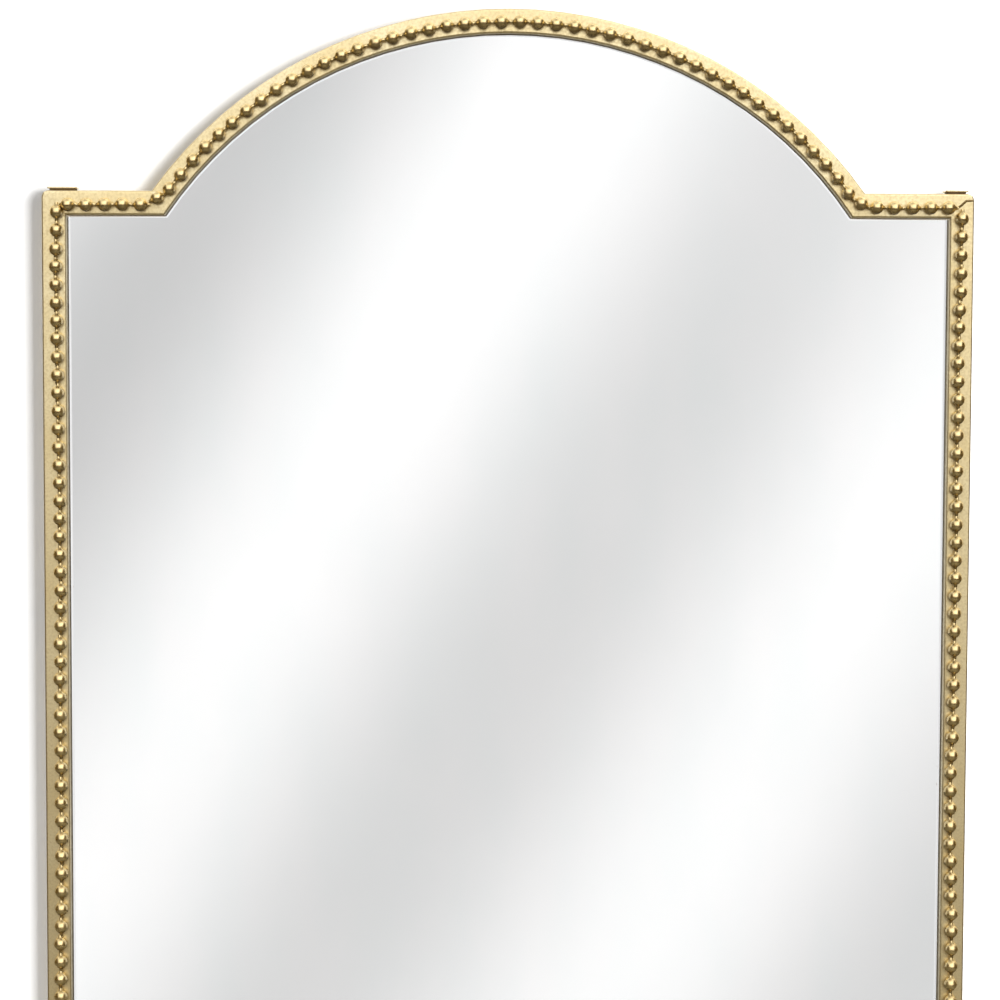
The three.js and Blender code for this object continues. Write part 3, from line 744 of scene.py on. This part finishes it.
# painted shade: a dark pad under each corner strip stands for the shadow line along it
PAINTED_SHADE_PAD = MouldedRubber(
    name="rubber_pad_brown", colour="#4A3822", dust="#6B5537", roughness=0.8
)
GILDING = BeadGilding()
WELD = GroundWeld()
GLASS = FloatGlass()
SILVER = Silvering()
FILM = ScrimFilm()
BOARD = FibreBoard()
TAPE = FoamTape()
ZINC = ZincPlating()
BLACK_RUBBER = MouldedRubber()
CLEAR_RUBBER = MouldedRubber(
    name="rubber_moulded_clear", colour="#E3E6E2", dust="#C9CBC4", roughness=0.28, clear=0.75
)


# ------------------------------------------------------------- the assemblies


@dataclass
class Assembly:
    """A sub-assembly of the mirror that makes its pieces and dresses them."""

    made: list[str] = field(default_factory=list, init=False)

    def build(self) -> None:
        """Make every piece of the sub-assembly."""
        raise NotImplementedError

    def keep(
        self,
        piece: bpy.types.Object,
        finish: Finish,
        slot: Slot,
        replaced: Iterable[str] = (),
        body: Body = Body.MIRROR,
    ) -> None:
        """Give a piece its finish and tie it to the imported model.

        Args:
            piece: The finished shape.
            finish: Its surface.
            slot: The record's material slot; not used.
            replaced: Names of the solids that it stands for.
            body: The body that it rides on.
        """
        piece.data.materials.clear()
        piece.data.materials.append(finish.material())
        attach(piece, body.value)
        if replaced:
            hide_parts(*replaced)
        self.made.append(piece.name)
        LOG.info("made %s", piece.name)

    def carry(self, node: str, finish: Finish) -> None:
        """Keep a solid as it is and give it its finish."""
        solid = frame["nodes"][node]
        for place in solid.material_slots:
            place.material = finish.material()
        self.made.append(node)
        LOG.info("carried %s", node)

    def refine(
        self,
        node: str,
        finish: Finish,
        slot: Slot,
        rounding: float = 0.0,
        body: Body = Body.MIRROR,
    ) -> None:
        """Stand a softened copy of a solid in its place.

        Args:
            node: Name of the solid.
            finish: Its surface.
            slot: The record's material slot.
            rounding: Width of the rounding on its edges, or 0 for none.
            body: The body that it rides on.
        """
        piece = merged_copy(node, f"{node}_fine")
        if rounding:
            soften(piece, rounding)
        else:
            shade(piece)
        self.keep(piece, finish, slot, [node], body)


@dataclass(frozen=True)
class Mitre:
    """A mitred joint: its plane, and how each rail runs into it."""

    point: Vector
    normal: Vector

    def close(self, rail: bpy.types.Object, along: Vector, gap: float) -> None:
        """Push the end of a rail along its length until it meets the joint.

        Args:
            rail: The rail whose end stands near the plane.
            along: The direction of the rail towards the joint.
            gap: How far the end stands from the plane.
        """
        with editing(rail):
            select(rail, Pick.VERTS, lambda at: abs((at - self.point).dot(self.normal)) < 2 * gap)
            travel = along.normalized() * gap / abs(along.normalized().dot(self.normal))
            bpy.ops.transform.translate(value=travel)


@dataclass
class TubeFrame(Assembly):
    """Six mitred lengths of steel tube, welded, ground and sprayed, and two corner plates."""

    half_width: float = 355.5 * MM
    foot: float = 3.3 * MM
    shoulder: float = 1639.8 * MM
    tube_width: float = 18.5 * MM
    notch_outer: float = 271.83 * MM
    notch_inner: float = 262.23 * MM
    arch_lean: float = 0.9587  # the arch's heading at its ends, in radians from level
    gap: float = 0.14 * MM
    face_y: float = -11.7966 * MM
    seam_radius: float = 0.9 * MM
    seam_flatness: float = 0.4
    seam_path: tuple[tuple[float, float], ...] = (  # across and up, in millimetres
        (342.0, 1628.6),
        (345.6, 1631.0),
        (349.0, 1634.2),
        (354.4, 1634.6),
    )
    # the pad's dark colour is painted shade
    plate_pad: float = 1.3 * MM  # thickness of the pad under the strip
    plate_overhang: float = 1.6 * MM  # how far the strip stands out past the pad
    plate_trim: float = 5.0 * MM  # how much shorter the right plate is at its inner end
    plate_corner: float = 1.5 * MM
    plate_edge: float = 0.25 * MM

    def corner(self, side: Side, height: float, slope: float) -> Mitre:
        """The 45 degree joint at a corner of the frame.

        Args:
            side: Left or right.
            height: Height of the outer corner.
            slope: 1 where the joint rises outwards, -1 where it falls.

        Returns:
            The joint.
        """
        point = Vector((side.value * self.half_width, 0.0, height))
        return Mitre(point, Vector((side.value * slope, 0.0, -1.0)).normalized())

    def notch(self, side: Side) -> Mitre:
        """The joint between a shoulder and the arch."""
        point = Vector((side.value * self.notch_outer, 0.0, self.shoulder))
        run = Vector((side.value * (self.notch_inner - self.notch_outer), 0.0, -self.tube_width))
        return Mitre(point, Vector((run.z, 0.0, -run.x)).normalized())

    def seam(self) -> bpy.types.Object:
        """Lay the one weld that still shows, from the corner bead to the edge."""
        points = [Vector((x * MM, self.face_y, z * MM)) for x, z in self.seam_path]
        heading = points[1] - points[0]
        weld = begin(
            "weld_top_right",
            bpy.ops.mesh.primitive_circle_add,
            vertices=8,
            radius=self.seam_radius,
            fill_type="NGON",
            location=points[0],
            rotation=heading.to_track_quat("Z", "Y").to_euler(),
        )
        with editing(weld):
            everything()
            for here, there in zip(points, points[1:]):
                bpy.ops.mesh.extrude_region_move(TRANSFORM_OT_translate={"value": there - here})
            everything()
            flat = (1.0, self.seam_flatness, 1.0)
            bpy.ops.transform.resize(value=flat, center_override=points[0])
        outward(weld)
        shade(weld, WELD_ANGLE)
        return weld

    def build(self) -> None:
        """Close the mitres of the six rails and shade them round."""
        rails = {name: merged_copy(name, f"{name}_fine") for name in self.rail_names()}
        level, upright = Vector((1.0, 0.0, 0.0)), Vector((0.0, 0.0, 1.0))
        for side in Side:
            out = level * side.value
            top, low = self.corner(side, self.shoulder, 1.0), self.corner(side, self.foot, -1.0)
            tall, short = rails[f"side_rail_{side.word}"], rails[f"shoulder_rail_{side.word}"]
            top.close(tall, upright, self.gap)
            top.close(short, out, self.gap)
            low.close(tall, -upright, self.gap)
            low.close(rails["bottom_rail"], out, self.gap)
            notch = self.notch(side)
            notch.close(short, -out, self.gap)
            ending = out * math.cos(self.arch_lean) - upright * math.sin(self.arch_lean)
            notch.close(rails["arch_rail"], ending, self.gap)
        for name, rail in rails.items():
            shade(rail)
            self.keep(rail, LACQUER, Slot.LACQUER, [name])
        self.keep(self.seam(), WELD, Slot.LACQUER)
        for side in Side:
            self.lay_plate(side)

    def lay_plate(self, side: Side) -> None:
        """Lay a thin lacquered strip on top of a shoulder, on a dark pad that is painted shade for
        the shadow line along the strip.

        Args:
            side: Left or right.
        """
        node = f"corner_plate_{side.word}"
        low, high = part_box(node)
        seat = low.z + self.plate_pad
        trim = self.plate_trim if side is Side.RIGHT else 0.0
        middle = Vector(((low.x + trim + high.x) / 2, (low.y + high.y) / 2, 0.0))
        width, depth = high.x - low.x - trim, high.y - low.y
        parts = (
            # the pad's dark brown is painted shade, the shadow line along the strip
            (f"{node}_strip", seat, high.z, 0.0, LACQUER, Slot.LACQUER, [node]),
            (f"{node}_pad", low.z, seat, self.plate_overhang, PAINTED_SHADE_PAD, Slot.BLACK_RUBBER, []),
        )
        for name, bottom, top, inset, finish, slot, replaced in parts:
            part = begin(
                name,
                bpy.ops.mesh.primitive_plane_add,
                size=1.0,
                location=middle + Vector((0.0, 0.0, bottom)),
                stretch=(width - 2 * inset, depth - inset, 1.0),
            )
            with editing(part):
                everything()
                bpy.ops.mesh.bevel(offset=self.plate_corner, segments=4, affect="VERTICES")
                bpy.ops.mesh.extrude_region_move(
                    TRANSFORM_OT_translate={"value": (0.0, 0.0, top - bottom)}
                )
            outward(part)
            soften(part, self.plate_edge)
            self.keep(part, finish, slot, replaced)

    def rail_names(self) -> list[str]:
        """The names of the six rails."""
        sides = [f"{kind}_rail_{side.word}" for side in Side for kind in ("side", "shoulder")]
        return [*sides, "bottom_rail", "arch_rail"]


@dataclass
class BeadTrim(Assembly):
    """Rolled balls with tapered necks, soldered along the face in six runs."""

    ball: float = 5.2 * MM
    neck: float = 1.5 * MM
    neck_end: float = 1.3 * MM
    crease_at: float = 4.95 * MM
    half_pitch: float = 6.9 * MM
    overlap: float = 0.3 * MM
    centre_y: float = -16.3 * MM
    ball_stations: tuple[float, ...] = (0.45, 0.8)  # of the way from its middle to its end
    segments: int = 8
    crease_angle: float = 58.0
    # How far a point's normal leans down where the painted shade on the underside starts and where
    # it is full.
    underside_start: float = -0.2
    underside_full: float = -0.75
    underside_most: float = 1.5
    end_margin: float = 4.95 * MM
    side_line: float = 344.7 * MM
    left_top: float = 1623.1 * MM
    right_top: float = 1620.4 * MM
    left_pitch: float = 13.72 * MM
    right_pitch: float = 13.75 * MM
    stray_top: float = 1624.0 * MM
    stray_step: float = 48.4 * MM
    left_strays: tuple[float, ...] = tuple(
        v * MM for v in (1.3, 0.5, 0.9, 1.5, 1.8, 2.2, 2.4, 1.8, 1.4, 1.6, 1.6, 1.2, 0.2, 0.0)
    )
    right_strays: tuple[float, ...] = tuple(
        v * MM for v in (-0.6, -0.4, 0.6, 0.4, 0.5, 0.4, 0.9, 0.5, 1.0, 2.1, 1.6, 0.3, -0.5, 0.0)
    )
    shoulder_line: float = 1629.0 * MM
    shoulder_span: tuple[float, float] = (335.1 * MM, 279.9 * MM)
    shoulder_count: int = 5
    arch_radius: float = 325.5 * MM
    arch_height: float = 1442.3 * MM
    arch_sweep: tuple[float, float] = (-52.35, 52.6)  # degrees from upright
    arch_count: int = 44
    notch_angles: tuple[float, float] = (-54.35, 54.75)
    notch_shift: float = 3.2 * MM  # how far the end beads stand out to clear the notch
    wander: float = 0.3 * MM
    smallest: float = 0.97  # of the full size
    twist: float = 0.05  # radians that a bead may turn out of line
    seed: int = 11

    def model_bead(self) -> bpy.types.Object:
        """Model one bead along X: a ball between two tapered necks.

        Returns:
            The bead at the origin, with an attribute that is 1 in its creases, where shade is
            painted.
        """
        reach = self.half_pitch + self.overlap
        half = [(0.0, self.ball)]
        for share in self.ball_stations:
            half.append((share * self.ball, self.ball * math.sqrt(1 - share**2)))
        half += [(self.crease_at, self.neck), (reach, self.neck_end)]
        stations = [(-along, size) for along, size in reversed(half[1:])] + half
        bead = bar("bead", stations, self.segments)
        # mark the creases, where dark brown is painted as shade
        wash = bead.data.attributes.new("crease", "FLOAT", "POINT")
        for index, vertex in enumerate(bead.data.vertices):
            away = abs(abs(vertex.co.x) - self.crease_at)
            wash.data[index].value = 1.0 if away < 0.1 * MM else 0.0
        take(bead)
        bpy.ops.object.shade_smooth_by_angle(angle=math.radians(self.crease_angle))
        return bead

    def stray(self, side: Side, height: float) -> float:
        """How far a side run strays inwards from its line at a height."""
        knots = self.left_strays if side is Side.LEFT else self.right_strays
        place = min(max((self.stray_top - height) / self.stray_step, 0.0), len(knots) - 1.001)
        index = int(place)
        return knots[index] + (knots[index + 1] - knots[index]) * (place - index)

    def side_places(self, side: Side) -> list[tuple[Vector, float]]:
        """The places of a side run, which wanders a little as the real one does."""
        top, pitch = self.left_top, self.left_pitch
        if side is Side.RIGHT:
            top, pitch = self.right_top, self.right_pitch
        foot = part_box(f"bead_run_{side.word}")[0].z + self.end_margin
        count = round((top - foot) / pitch) + 1
        places = []
        for i in range(count):
            height = top - i * pitch
            across = side.value * (self.side_line - self.stray(side, height))
            places.append((Vector((across, self.centre_y, height)), math.pi / 2))
        return places

    def level_places(
        self, start: float, end: float, height: float, count: int
    ) -> list[tuple[Vector, float]]:
        """Evenly spaced places on a level run."""
        step = (end - start) / (count - 1)
        return [(Vector((start + i * step, self.centre_y, height)), 0.0) for i in range(count)]

    def build(self) -> None:
        """Lay the six runs."""
        dice = random.Random(self.seed)
        bead = self.model_bead()
        runs = {side.word: self.side_places(side) for side in Side}
        low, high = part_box("bead_run_bottom")
        first, last = low.x + self.end_margin, high.x - self.end_margin
        count = round((last - first) / (2 * self.half_pitch)) + 1
        runs["bottom"] = self.level_places(first, last, (low.z + high.z) / 2, count)
        for side in Side:
            outer, inner = (side.value * across for across in self.shoulder_span)
            runs[f"shoulder_{side.word}"] = self.level_places(
                outer, inner, self.shoulder_line, self.shoulder_count
            )
        runs["arch"] = self.arch_places()
        for node, places in runs.items():
            beads = [self.set_bead(bead, place, heading, dice) for place, heading in places]
            run = join(f"beads_{node}", beads)
            self.mark_underside(run)
            self.keep(run, GILDING, Slot.BEADS, [f"bead_run_{node}"])
        bpy.data.objects.remove(bead)

    def mark_underside(self, run: bpy.types.Object) -> None:
        """Mark on a run's points how far they face down, for the shade painted on the undersides.

        Args:
            run: The joined beads, whose normals are in the object's own space.
        """
        start, full = self.underside_start, self.underside_full
        mark = run.data.attributes.new("underside", "FLOAT", "POINT")
        for index, vertex in enumerate(run.data.vertices):
            share = (start - vertex.normal.z) / (start - full)
            mark.data[index].value = self.underside_most * min(max(share, 0.0), 1.0)

    def arch_places(self) -> list[tuple[Vector, float]]:
        """Places along the arch, with a bead at each notch that turns half way to the shoulder."""
        first, last = self.arch_sweep
        step = (last - first) / (self.arch_count - 1)
        spots = [(first + i * step, self.arch_radius, 1.0) for i in range(self.arch_count)]
        left, right = (
            (angle, self.arch_radius + self.notch_shift, 0.5) for angle in self.notch_angles
        )
        places = []
        for degrees, radius, turn in (left, *spots, right):
            angle = math.radians(degrees)
            place = Vector((math.sin(angle), 0.0, math.cos(angle))) * radius
            place += Vector((0.0, self.centre_y, self.arch_height))
            places.append((place, -angle * turn))
        return places

    def set_bead(
        self, bead: bpy.types.Object, place: Vector, heading: float, dice: random.Random
    ) -> bpy.types.Object:
        """Set one copy of the bead, a little out of line as a hand leaves it."""
        nudge = Vector([dice.uniform(-self.wander, self.wander) * axis for axis in (1.0, 0.0, 1.0)])
        size = dice.uniform(self.smallest, 1.0)
        turned = dice.uniform(-self.twist, self.twist) - heading
        turn = Matrix.Rotation(turned, 4, "Y")
        matrix = Matrix.Translation(place + nudge) @ turn @ Matrix.Scale(size, 4)
        return own_copy(bead, "bead_copy", matrix)


@dataclass
class MirrorPanel(Assembly):
    """The silvered glass with its film, tape, board and setting blocks."""

    silver_thickness: float = 0.1 * MM
    silver_gap: float = 0.02 * MM
    glass_edge: float = 0.8 * MM
    board_edge: float = 0.6 * MM
    block_edge: float = 0.4 * MM
    tape_strips: int = 4

    def build(self) -> None:
        """Make the glass and its silver, and dress what lies behind."""
        glass = merged_copy("mirror_glass", "glass_pane")
        soften(glass, self.glass_edge, 1)
        self.keep(glass, GLASS, Slot.GLASS, ["mirror_glass"])
        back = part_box("mirror_glass")[1].y
        silver = merged_copy("mirror_glass", "glass_silvering")
        with editing(silver):
            select(silver, Pick.FACES, lambda middle: middle.y < back - SAME_POINT)
            bpy.ops.mesh.delete(type="FACE")
            everything()
            depth = {"value": (0.0, self.silver_thickness, 0.0)}
            bpy.ops.mesh.extrude_region_move(TRANSFORM_OT_translate=depth)
            everything()
            bpy.ops.transform.translate(value=(0.0, self.silver_gap, 0.0))
        outward(silver)
        self.keep(silver, SILVER, Slot.GLASS)
        self.refine("safety_film", FILM, Slot.FILM)
        self.refine("back_board", BOARD, Slot.BOARD, self.board_edge)
        for number in range(self.tape_strips):
            self.carry(f"bonding_tape_{number + 1}", TAPE)
        for side in Side:
            block = f"setting_block_{side.word}"
            self.refine(block, BLACK_RUBBER, Slot.BLACK_RUBBER, self.block_edge)


@dataclass
class BackFixings(Assembly):
    """Welded lugs with the screws that hold the panel, hangers, bumpers and pads."""

    lug_length: float = 30 * MM
    arch_lug_lean: float = 32.0  # degrees from upright
    tack_length: float = 14 * MM
    tack_radius: float = 1.1 * MM
    tack_ripples: tuple[float, ...] = (0.35, 0.85, 1.0, 0.86, 1.0, 0.86, 1.0, 0.85, 0.35)
    tack_sides: int = 10
    lug_edge: float = 0.3 * MM
    bumper_edge: float = 0.4 * MM
    pad_edge: float = 0.5 * MM
    tack_lift: float = 0.5 * MM  # of a weld's middle off the back of the tube

    def lug_leans(self) -> dict[str, float]:
        """Every lug's name, with the degrees from upright at which it points outwards."""
        leans = {"bottom_left": 180.0, "bottom_right": 180.0, "arch_top": 0.0}
        leans |= {f"arch_{side.word}": side.value * self.arch_lug_lean for side in Side}
        leans |= {
            f"{side.word}_{level}": side.value * 90.0
            for side in Side
            for level in ("low", "middle", "high")
        }
        return leans

    def model_tack(self) -> bpy.types.Object:
        """Model one short weld along X: a low rippled bar that tapers at its ends.

        Returns:
            The weld, with its middle at the origin.
        """
        step = self.tack_length / (len(self.tack_ripples) - 1)
        stations = [
            (i * step - self.tack_length / 2, share * self.tack_radius)
            for i, share in enumerate(self.tack_ripples)
        ]
        tack = bar("weld_tack", stations, self.tack_sides)
        shade(tack, WELD_ANGLE)
        return tack

    def lay_tacks(self) -> None:
        """Lay a weld on the tube along the outer end of every lug."""
        tack = self.model_tack()
        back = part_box("side_rail_left")[1].y + self.tack_lift
        for lug, degrees in self.lug_leans().items():
            low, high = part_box(f"lug_{lug}")
            lean = math.radians(degrees)
            outer = Vector((math.sin(lean), 0.0, math.cos(lean))) * self.lug_length / 2
            place = (low + high) / 2 + outer
            place.y = back
            turned = Matrix.Translation(place) @ Matrix.Rotation(lean, 4, "Y")
            self.keep(own_copy(tack, f"weld_{lug}", turned), LACQUER, Slot.LACQUER)
        bpy.data.objects.remove(tack)

    def build(self) -> None:
        """Refine every fixing on the back and below, and weld the lugs on."""
        for lug in self.lug_leans():
            self.refine(f"lug_{lug}", LACQUER, Slot.LACQUER, self.lug_edge)
            self.refine(f"lug_screw_{lug}", ZINC, Slot.ZINC)
        self.lay_tacks()
        for side in Side:
            ring = Body.RING_LEFT if side is Side.LEFT else Body.RING_RIGHT
            self.refine(f"hanger_strap_{side.word}", ZINC, Slot.ZINC)
            self.refine(f"hanger_ring_{side.word}", ZINC, Slot.ZINC, body=ring)
            for level in ("upper", "lower"):
                self.refine(f"hanger_screw_{side.word}_{level}", ZINC, Slot.ZINC)
            for level in ("top", "low"):
                bumper = f"wall_bumper_{level}_{side.word}"
                self.refine(bumper, CLEAR_RUBBER, Slot.CLEAR_RUBBER, self.bumper_edge)
            pad = f"floor_pad_{side.word}"
            self.refine(pad, BLACK_RUBBER, Slot.BLACK_RUBBER, self.pad_edge)


# ------------------------------------------------------------------ the studio


@dataclass(frozen=True)
class Lamp:
    """One soft square lamp: where it hangs, its aim, its width in metres and its watts."""

    name: str
    place: tuple[float, float, float]
    target: tuple[float, float, float]
    size: float
    power: float

    def hang(self) -> None:
        """Hang the lamp where neither the camera nor a reflection shows it."""
        data = bpy.data.lights.new(self.name, "AREA")
        data.shape = "SQUARE"
        data.size = self.size
        data.energy = self.power
        lamp = bpy.data.objects.new(self.name, data)
        lamp.location = self.place
        aim = Vector(self.target) - Vector(self.place)
        lamp.rotation_euler = aim.to_track_quat("-Z", "Y").to_euler()
        lamp.visible_camera = False
        lamp.visible_glossy = False
        lamp.visible_transmission = False
        bpy.context.collection.objects.link(lamp)


@dataclass
class Studio:
    """The camera, the pale floor and wall, and the soft light."""

    camera_place: tuple[float, float, float] = (-0.038, -2.082, 1.543)
    pitch_down: float = 3.82
    yaw_right: float = 0.88
    roll: float = -0.19
    lens: float = 97.38  # millimetres, as the sensor is
    sensor: float = 36.0
    wall_y: float = 0.0225
    stage_size: float = 6.8
    paint: str = "#EDEDED"
    paint_glow: float = 0.12
    # the paint as the metal sees it: darker, a painted shade
    paint_in_metal: str = "#8E8878"
    window_strength: float = 2.12
    # The bands in the mirror: how many turns a slope of 1 makes, across and up.
    bands_across: float = 4.54
    bands_up: float = 2.75
    bands_shift: float = 0.046
    bands_strength: float = 1.06
    lamps: tuple[Lamp, ...] = (
        Lamp("key_softbox", (0.8, -2.2, 1.65), (0.0, 0.0, 1.35), 0.7, 78.0),
        Lamp("back_softbox", (-0.9, 2.4, 1.9), (0.0, 0.0, 0.9), 1.2, 60.0),
    )

    def aim_camera(self) -> None:
        """Set the camera at the photograph's viewing angle."""
        pitch, yaw, roll = (math.radians(v) for v in (self.pitch_down, self.yaw_right, self.roll))
        ahead = Vector(
            (math.sin(yaw) * math.cos(pitch), math.cos(yaw) * math.cos(pitch), -math.sin(pitch))
        )
        level = Vector((math.cos(yaw), -math.sin(yaw), 0.0))
        upright = level.cross(ahead)
        right = level * math.cos(roll) - upright * math.sin(roll)
        up = right.cross(ahead)
        data = bpy.data.cameras.new("studio_camera")
        data.lens = self.lens
        data.sensor_width = self.sensor
        data.clip_start = 0.01
        camera = bpy.data.objects.new("studio_camera", data)
        bpy.context.collection.objects.link(camera)
        turn = Matrix((right, up, -ahead)).transposed()
        camera.matrix_world = Matrix.Translation(self.camera_place) @ turn.to_4x4()
        bpy.context.scene.camera = camera

    def stage_material(self, name: str, one_sided: bool) -> bpy.types.Material:
        """A pale matt paint that keeps shadows on white, and shows darker in metal as painted
        shade.

        Args:
            name: Name of the material.
            one_sided: Whether its back can be seen through and light reaches what is behind.

        Returns:
            The material.
        """
        made = bpy.data.materials.new(name)
        made.use_nodes = True
        tree = made.node_tree
        tree.nodes.clear()
        matt = add_node(tree, "BsdfDiffuse", {"Color": linear(self.paint)})
        glow = {"Color": linear("#FFFFFF"), "Strength": self.paint_glow}
        white = add_node(tree, "Emission", glow)
        lit = add_node(tree, "AddShader", {0: matt, 1: white})
        # painted shade: glossy rays see this paint darker than the camera does
        dim = add_node(tree, "BsdfDiffuse", {"Color": linear(self.paint_in_metal)})
        glossy = add_node(tree, "LightPath", give="Is Glossy Ray")
        surface = add_node(tree, "MixShader", {0: glossy, 1: lit, 2: dim})
        if one_sided:
            clear = add_node(tree, "BsdfTransparent")
            behind = add_node(tree, "NewGeometry", give="Backfacing")
            surface = add_node(tree, "MixShader", {0: behind, 1: surface, 2: clear})
            for ray in ("Is Shadow Ray", "Is Diffuse Ray", "Is Glossy Ray"):
                passing = add_node(tree, "LightPath", give=ray)
                surface = add_node(tree, "MixShader", {0: passing, 1: surface, 2: clear})
        add_node(tree, "OutputMaterial", {"Surface": surface})
        return made

    def build_stage(self) -> None:
        """Lay the floor and stand the wall close behind the mirror."""
        floor = begin("studio_floor", bpy.ops.mesh.primitive_plane_add, size=self.stage_size)
        floor.data.materials.append(self.stage_material("studio_floor_matt", False))
        wall = begin(
            "studio_wall",
            bpy.ops.mesh.primitive_plane_add,
            size=self.stage_size,
            location=(0.0, self.wall_y, self.stage_size / 2),
            rotation=(math.pi / 2, 0.0, 0.0),
        )
        wall.data.materials.append(self.stage_material("studio_wall_matt", True))

    def window_light(self, tree: Tree, heading: Socket) -> Socket:
        """The light that the metal reflects: a bright strip ahead and overhead.

        Args:
            tree: The world's node tree.
            heading: The ray's heading.

        Returns:
            The background shader.
        """
        across = add_node(tree, "SeparateXYZ", {0: heading}, "X")
        height = across.node.outputs["Z"]
        rise = add_node(
            tree,
            "MapRange",
            {"Value": height, "From Min": -0.18, "From Max": 0.12},
            interpolation_type="SMOOTHSTEP",
        )
        aside = add_node(tree, "Math", {0: across}, operation="ABSOLUTE")
        strip = add_node(
            tree,
            "MapRange",
            {"Value": aside, "From Min": 0.5, "From Max": 0.85, "To Min": 1.0, "To Max": 0.0},
            interpolation_type="SMOOTHSTEP",
        )
        ceiling = add_node(
            tree,
            "MapRange",
            {"Value": height, "From Min": 0.7, "From Max": 1.0, "To Min": 1.0, "To Max": 0.3},
        )
        pane = add_node(tree, "Math", {0: rise, 1: strip}, operation="MULTIPLY")
        share = add_node(tree, "Math", {0: pane, 1: ceiling}, operation="MULTIPLY")
        shift = {"Value": across, "From Min": -0.3, "From Max": 0.35}
        rightward = add_node(tree, "MapRange", shift)
        bright = add_node(
            tree,
            "Mix",
            {0: rightward, MIX_A: linear("#DADADA"), MIX_B: linear("#FFFFFF")},
            MIX_OUT,
            data_type="RGBA",
        )
        lift = add_node(tree, "MapRange", {"Value": height, "From Min": -0.85, "From Max": -0.3})
        dark = add_node(
            tree,
            "Mix",
            {0: lift, MIX_A: linear("#0C0803"), MIX_B: linear("#463A24")},
            MIX_OUT,
            data_type="RGBA",
        )
        colour = add_node(
            tree, "Mix", {0: share, MIX_A: dark, MIX_B: bright}, MIX_OUT, data_type="RGBA"
        )
        return add_node(tree, "Background", {"Color": colour, "Strength": self.window_strength})

    def mirrored_light(self, tree: Tree, heading: Socket) -> Socket:
        """The picture in the mirror: soft slanting bands of grey and white.

        Args:
            tree: The world's node tree.
            heading: The ray's heading.

        Returns:
            The background shader.
        """
        parts = add_node(tree, "SeparateXYZ", {0: heading}).node.outputs
        ahead = add_node(tree, "Math", {0: parts["Y"], 1: -1.0}, operation="MULTIPLY")
        depth = add_node(tree, "Math", {0: ahead, 1: 0.05}, operation="MAXIMUM")
        across = add_node(tree, "Math", {0: parts["X"], 1: depth}, operation="DIVIDE")
        height = add_node(tree, "Math", {0: parts["Z"], 1: depth}, operation="DIVIDE")
        leaning = {0: across, 1: math.tau * self.bands_across, 2: math.tau * self.bands_shift}
        slant = add_node(tree, "Math", leaning, operation="MULTIPLY_ADD")
        rising = {0: height, 1: -math.tau * self.bands_up, 2: slant}
        phase = add_node(tree, "Math", rising, operation="MULTIPLY_ADD")
        band = add_node(tree, "Math", {0: phase}, operation="COSINE")
        share = add_node(tree, "MapRange", {"Value": band, "From Min": -1.0})
        rightward = add_node(
            tree, "MapRange", {"Value": phase, "From Min": -math.pi, "From Max": math.pi}
        )
        trough = add_node(
            tree,
            "Mix",
            {0: rightward, MIX_A: linear("#C5C5C5"), MIX_B: linear("#D9D9D9")},
            MIX_OUT,
            data_type="RGBA",
        )
        bands = add_node(
            tree,
            "Mix",
            {0: share, MIX_A: trough, MIX_B: linear("#FFFFFF")},
            MIX_OUT,
            data_type="RGBA",
        )
        return add_node(tree, "Background", {"Color": bands, "Strength": self.bands_strength})

    def light(self) -> None:
        """Hang the lamps and set the world."""
        for lamp in self.lamps:
            lamp.hang()
        world = bpy.data.worlds.new("studio_world")
        bpy.context.scene.world = world
        world.use_nodes = True
        tree = world.node_tree
        tree.nodes.clear()
        heading = add_node(tree, "TexCoord", give="Generated")
        looks = {
            "Is Glossy Ray": self.window_light(tree, heading),
            "Is Transmission Ray": self.mirrored_light(tree, heading),
            "Is Camera Ray": add_node(tree, "Background", {"Color": linear("#FFFFFF")}),
        }
        sky = add_node(tree, "Background", {"Color": linear("#9C9C9C")})
        for ray, look in looks.items():
            seen = add_node(tree, "LightPath", give=ray)
            sky = add_node(tree, "MixShader", {0: seen, 1: sky, 2: look})
        add_node(tree, "OutputWorld", {"Surface": sky})

    def build(self) -> None:
        """Set up the stage, the lamps and the camera."""
        self.build_stage()
        self.light()
        self.aim_camera()


def main() -> None:
    """Build every sub-assembly of the mirror, then the studio round it."""
    logging.basicConfig(level=logging.INFO, format="%(message)s")
    for assembly in (TubeFrame(), BeadTrim(), MirrorPanel(), BackFixings()):
        assembly.build()
        LOG.info("%s: %d pieces", type(assembly).__name__, len(assembly.made))
    Studio().build()
    bpy.context.scene.view_settings.view_transform = "Standard"


if __name__ == "__main__":
    main()
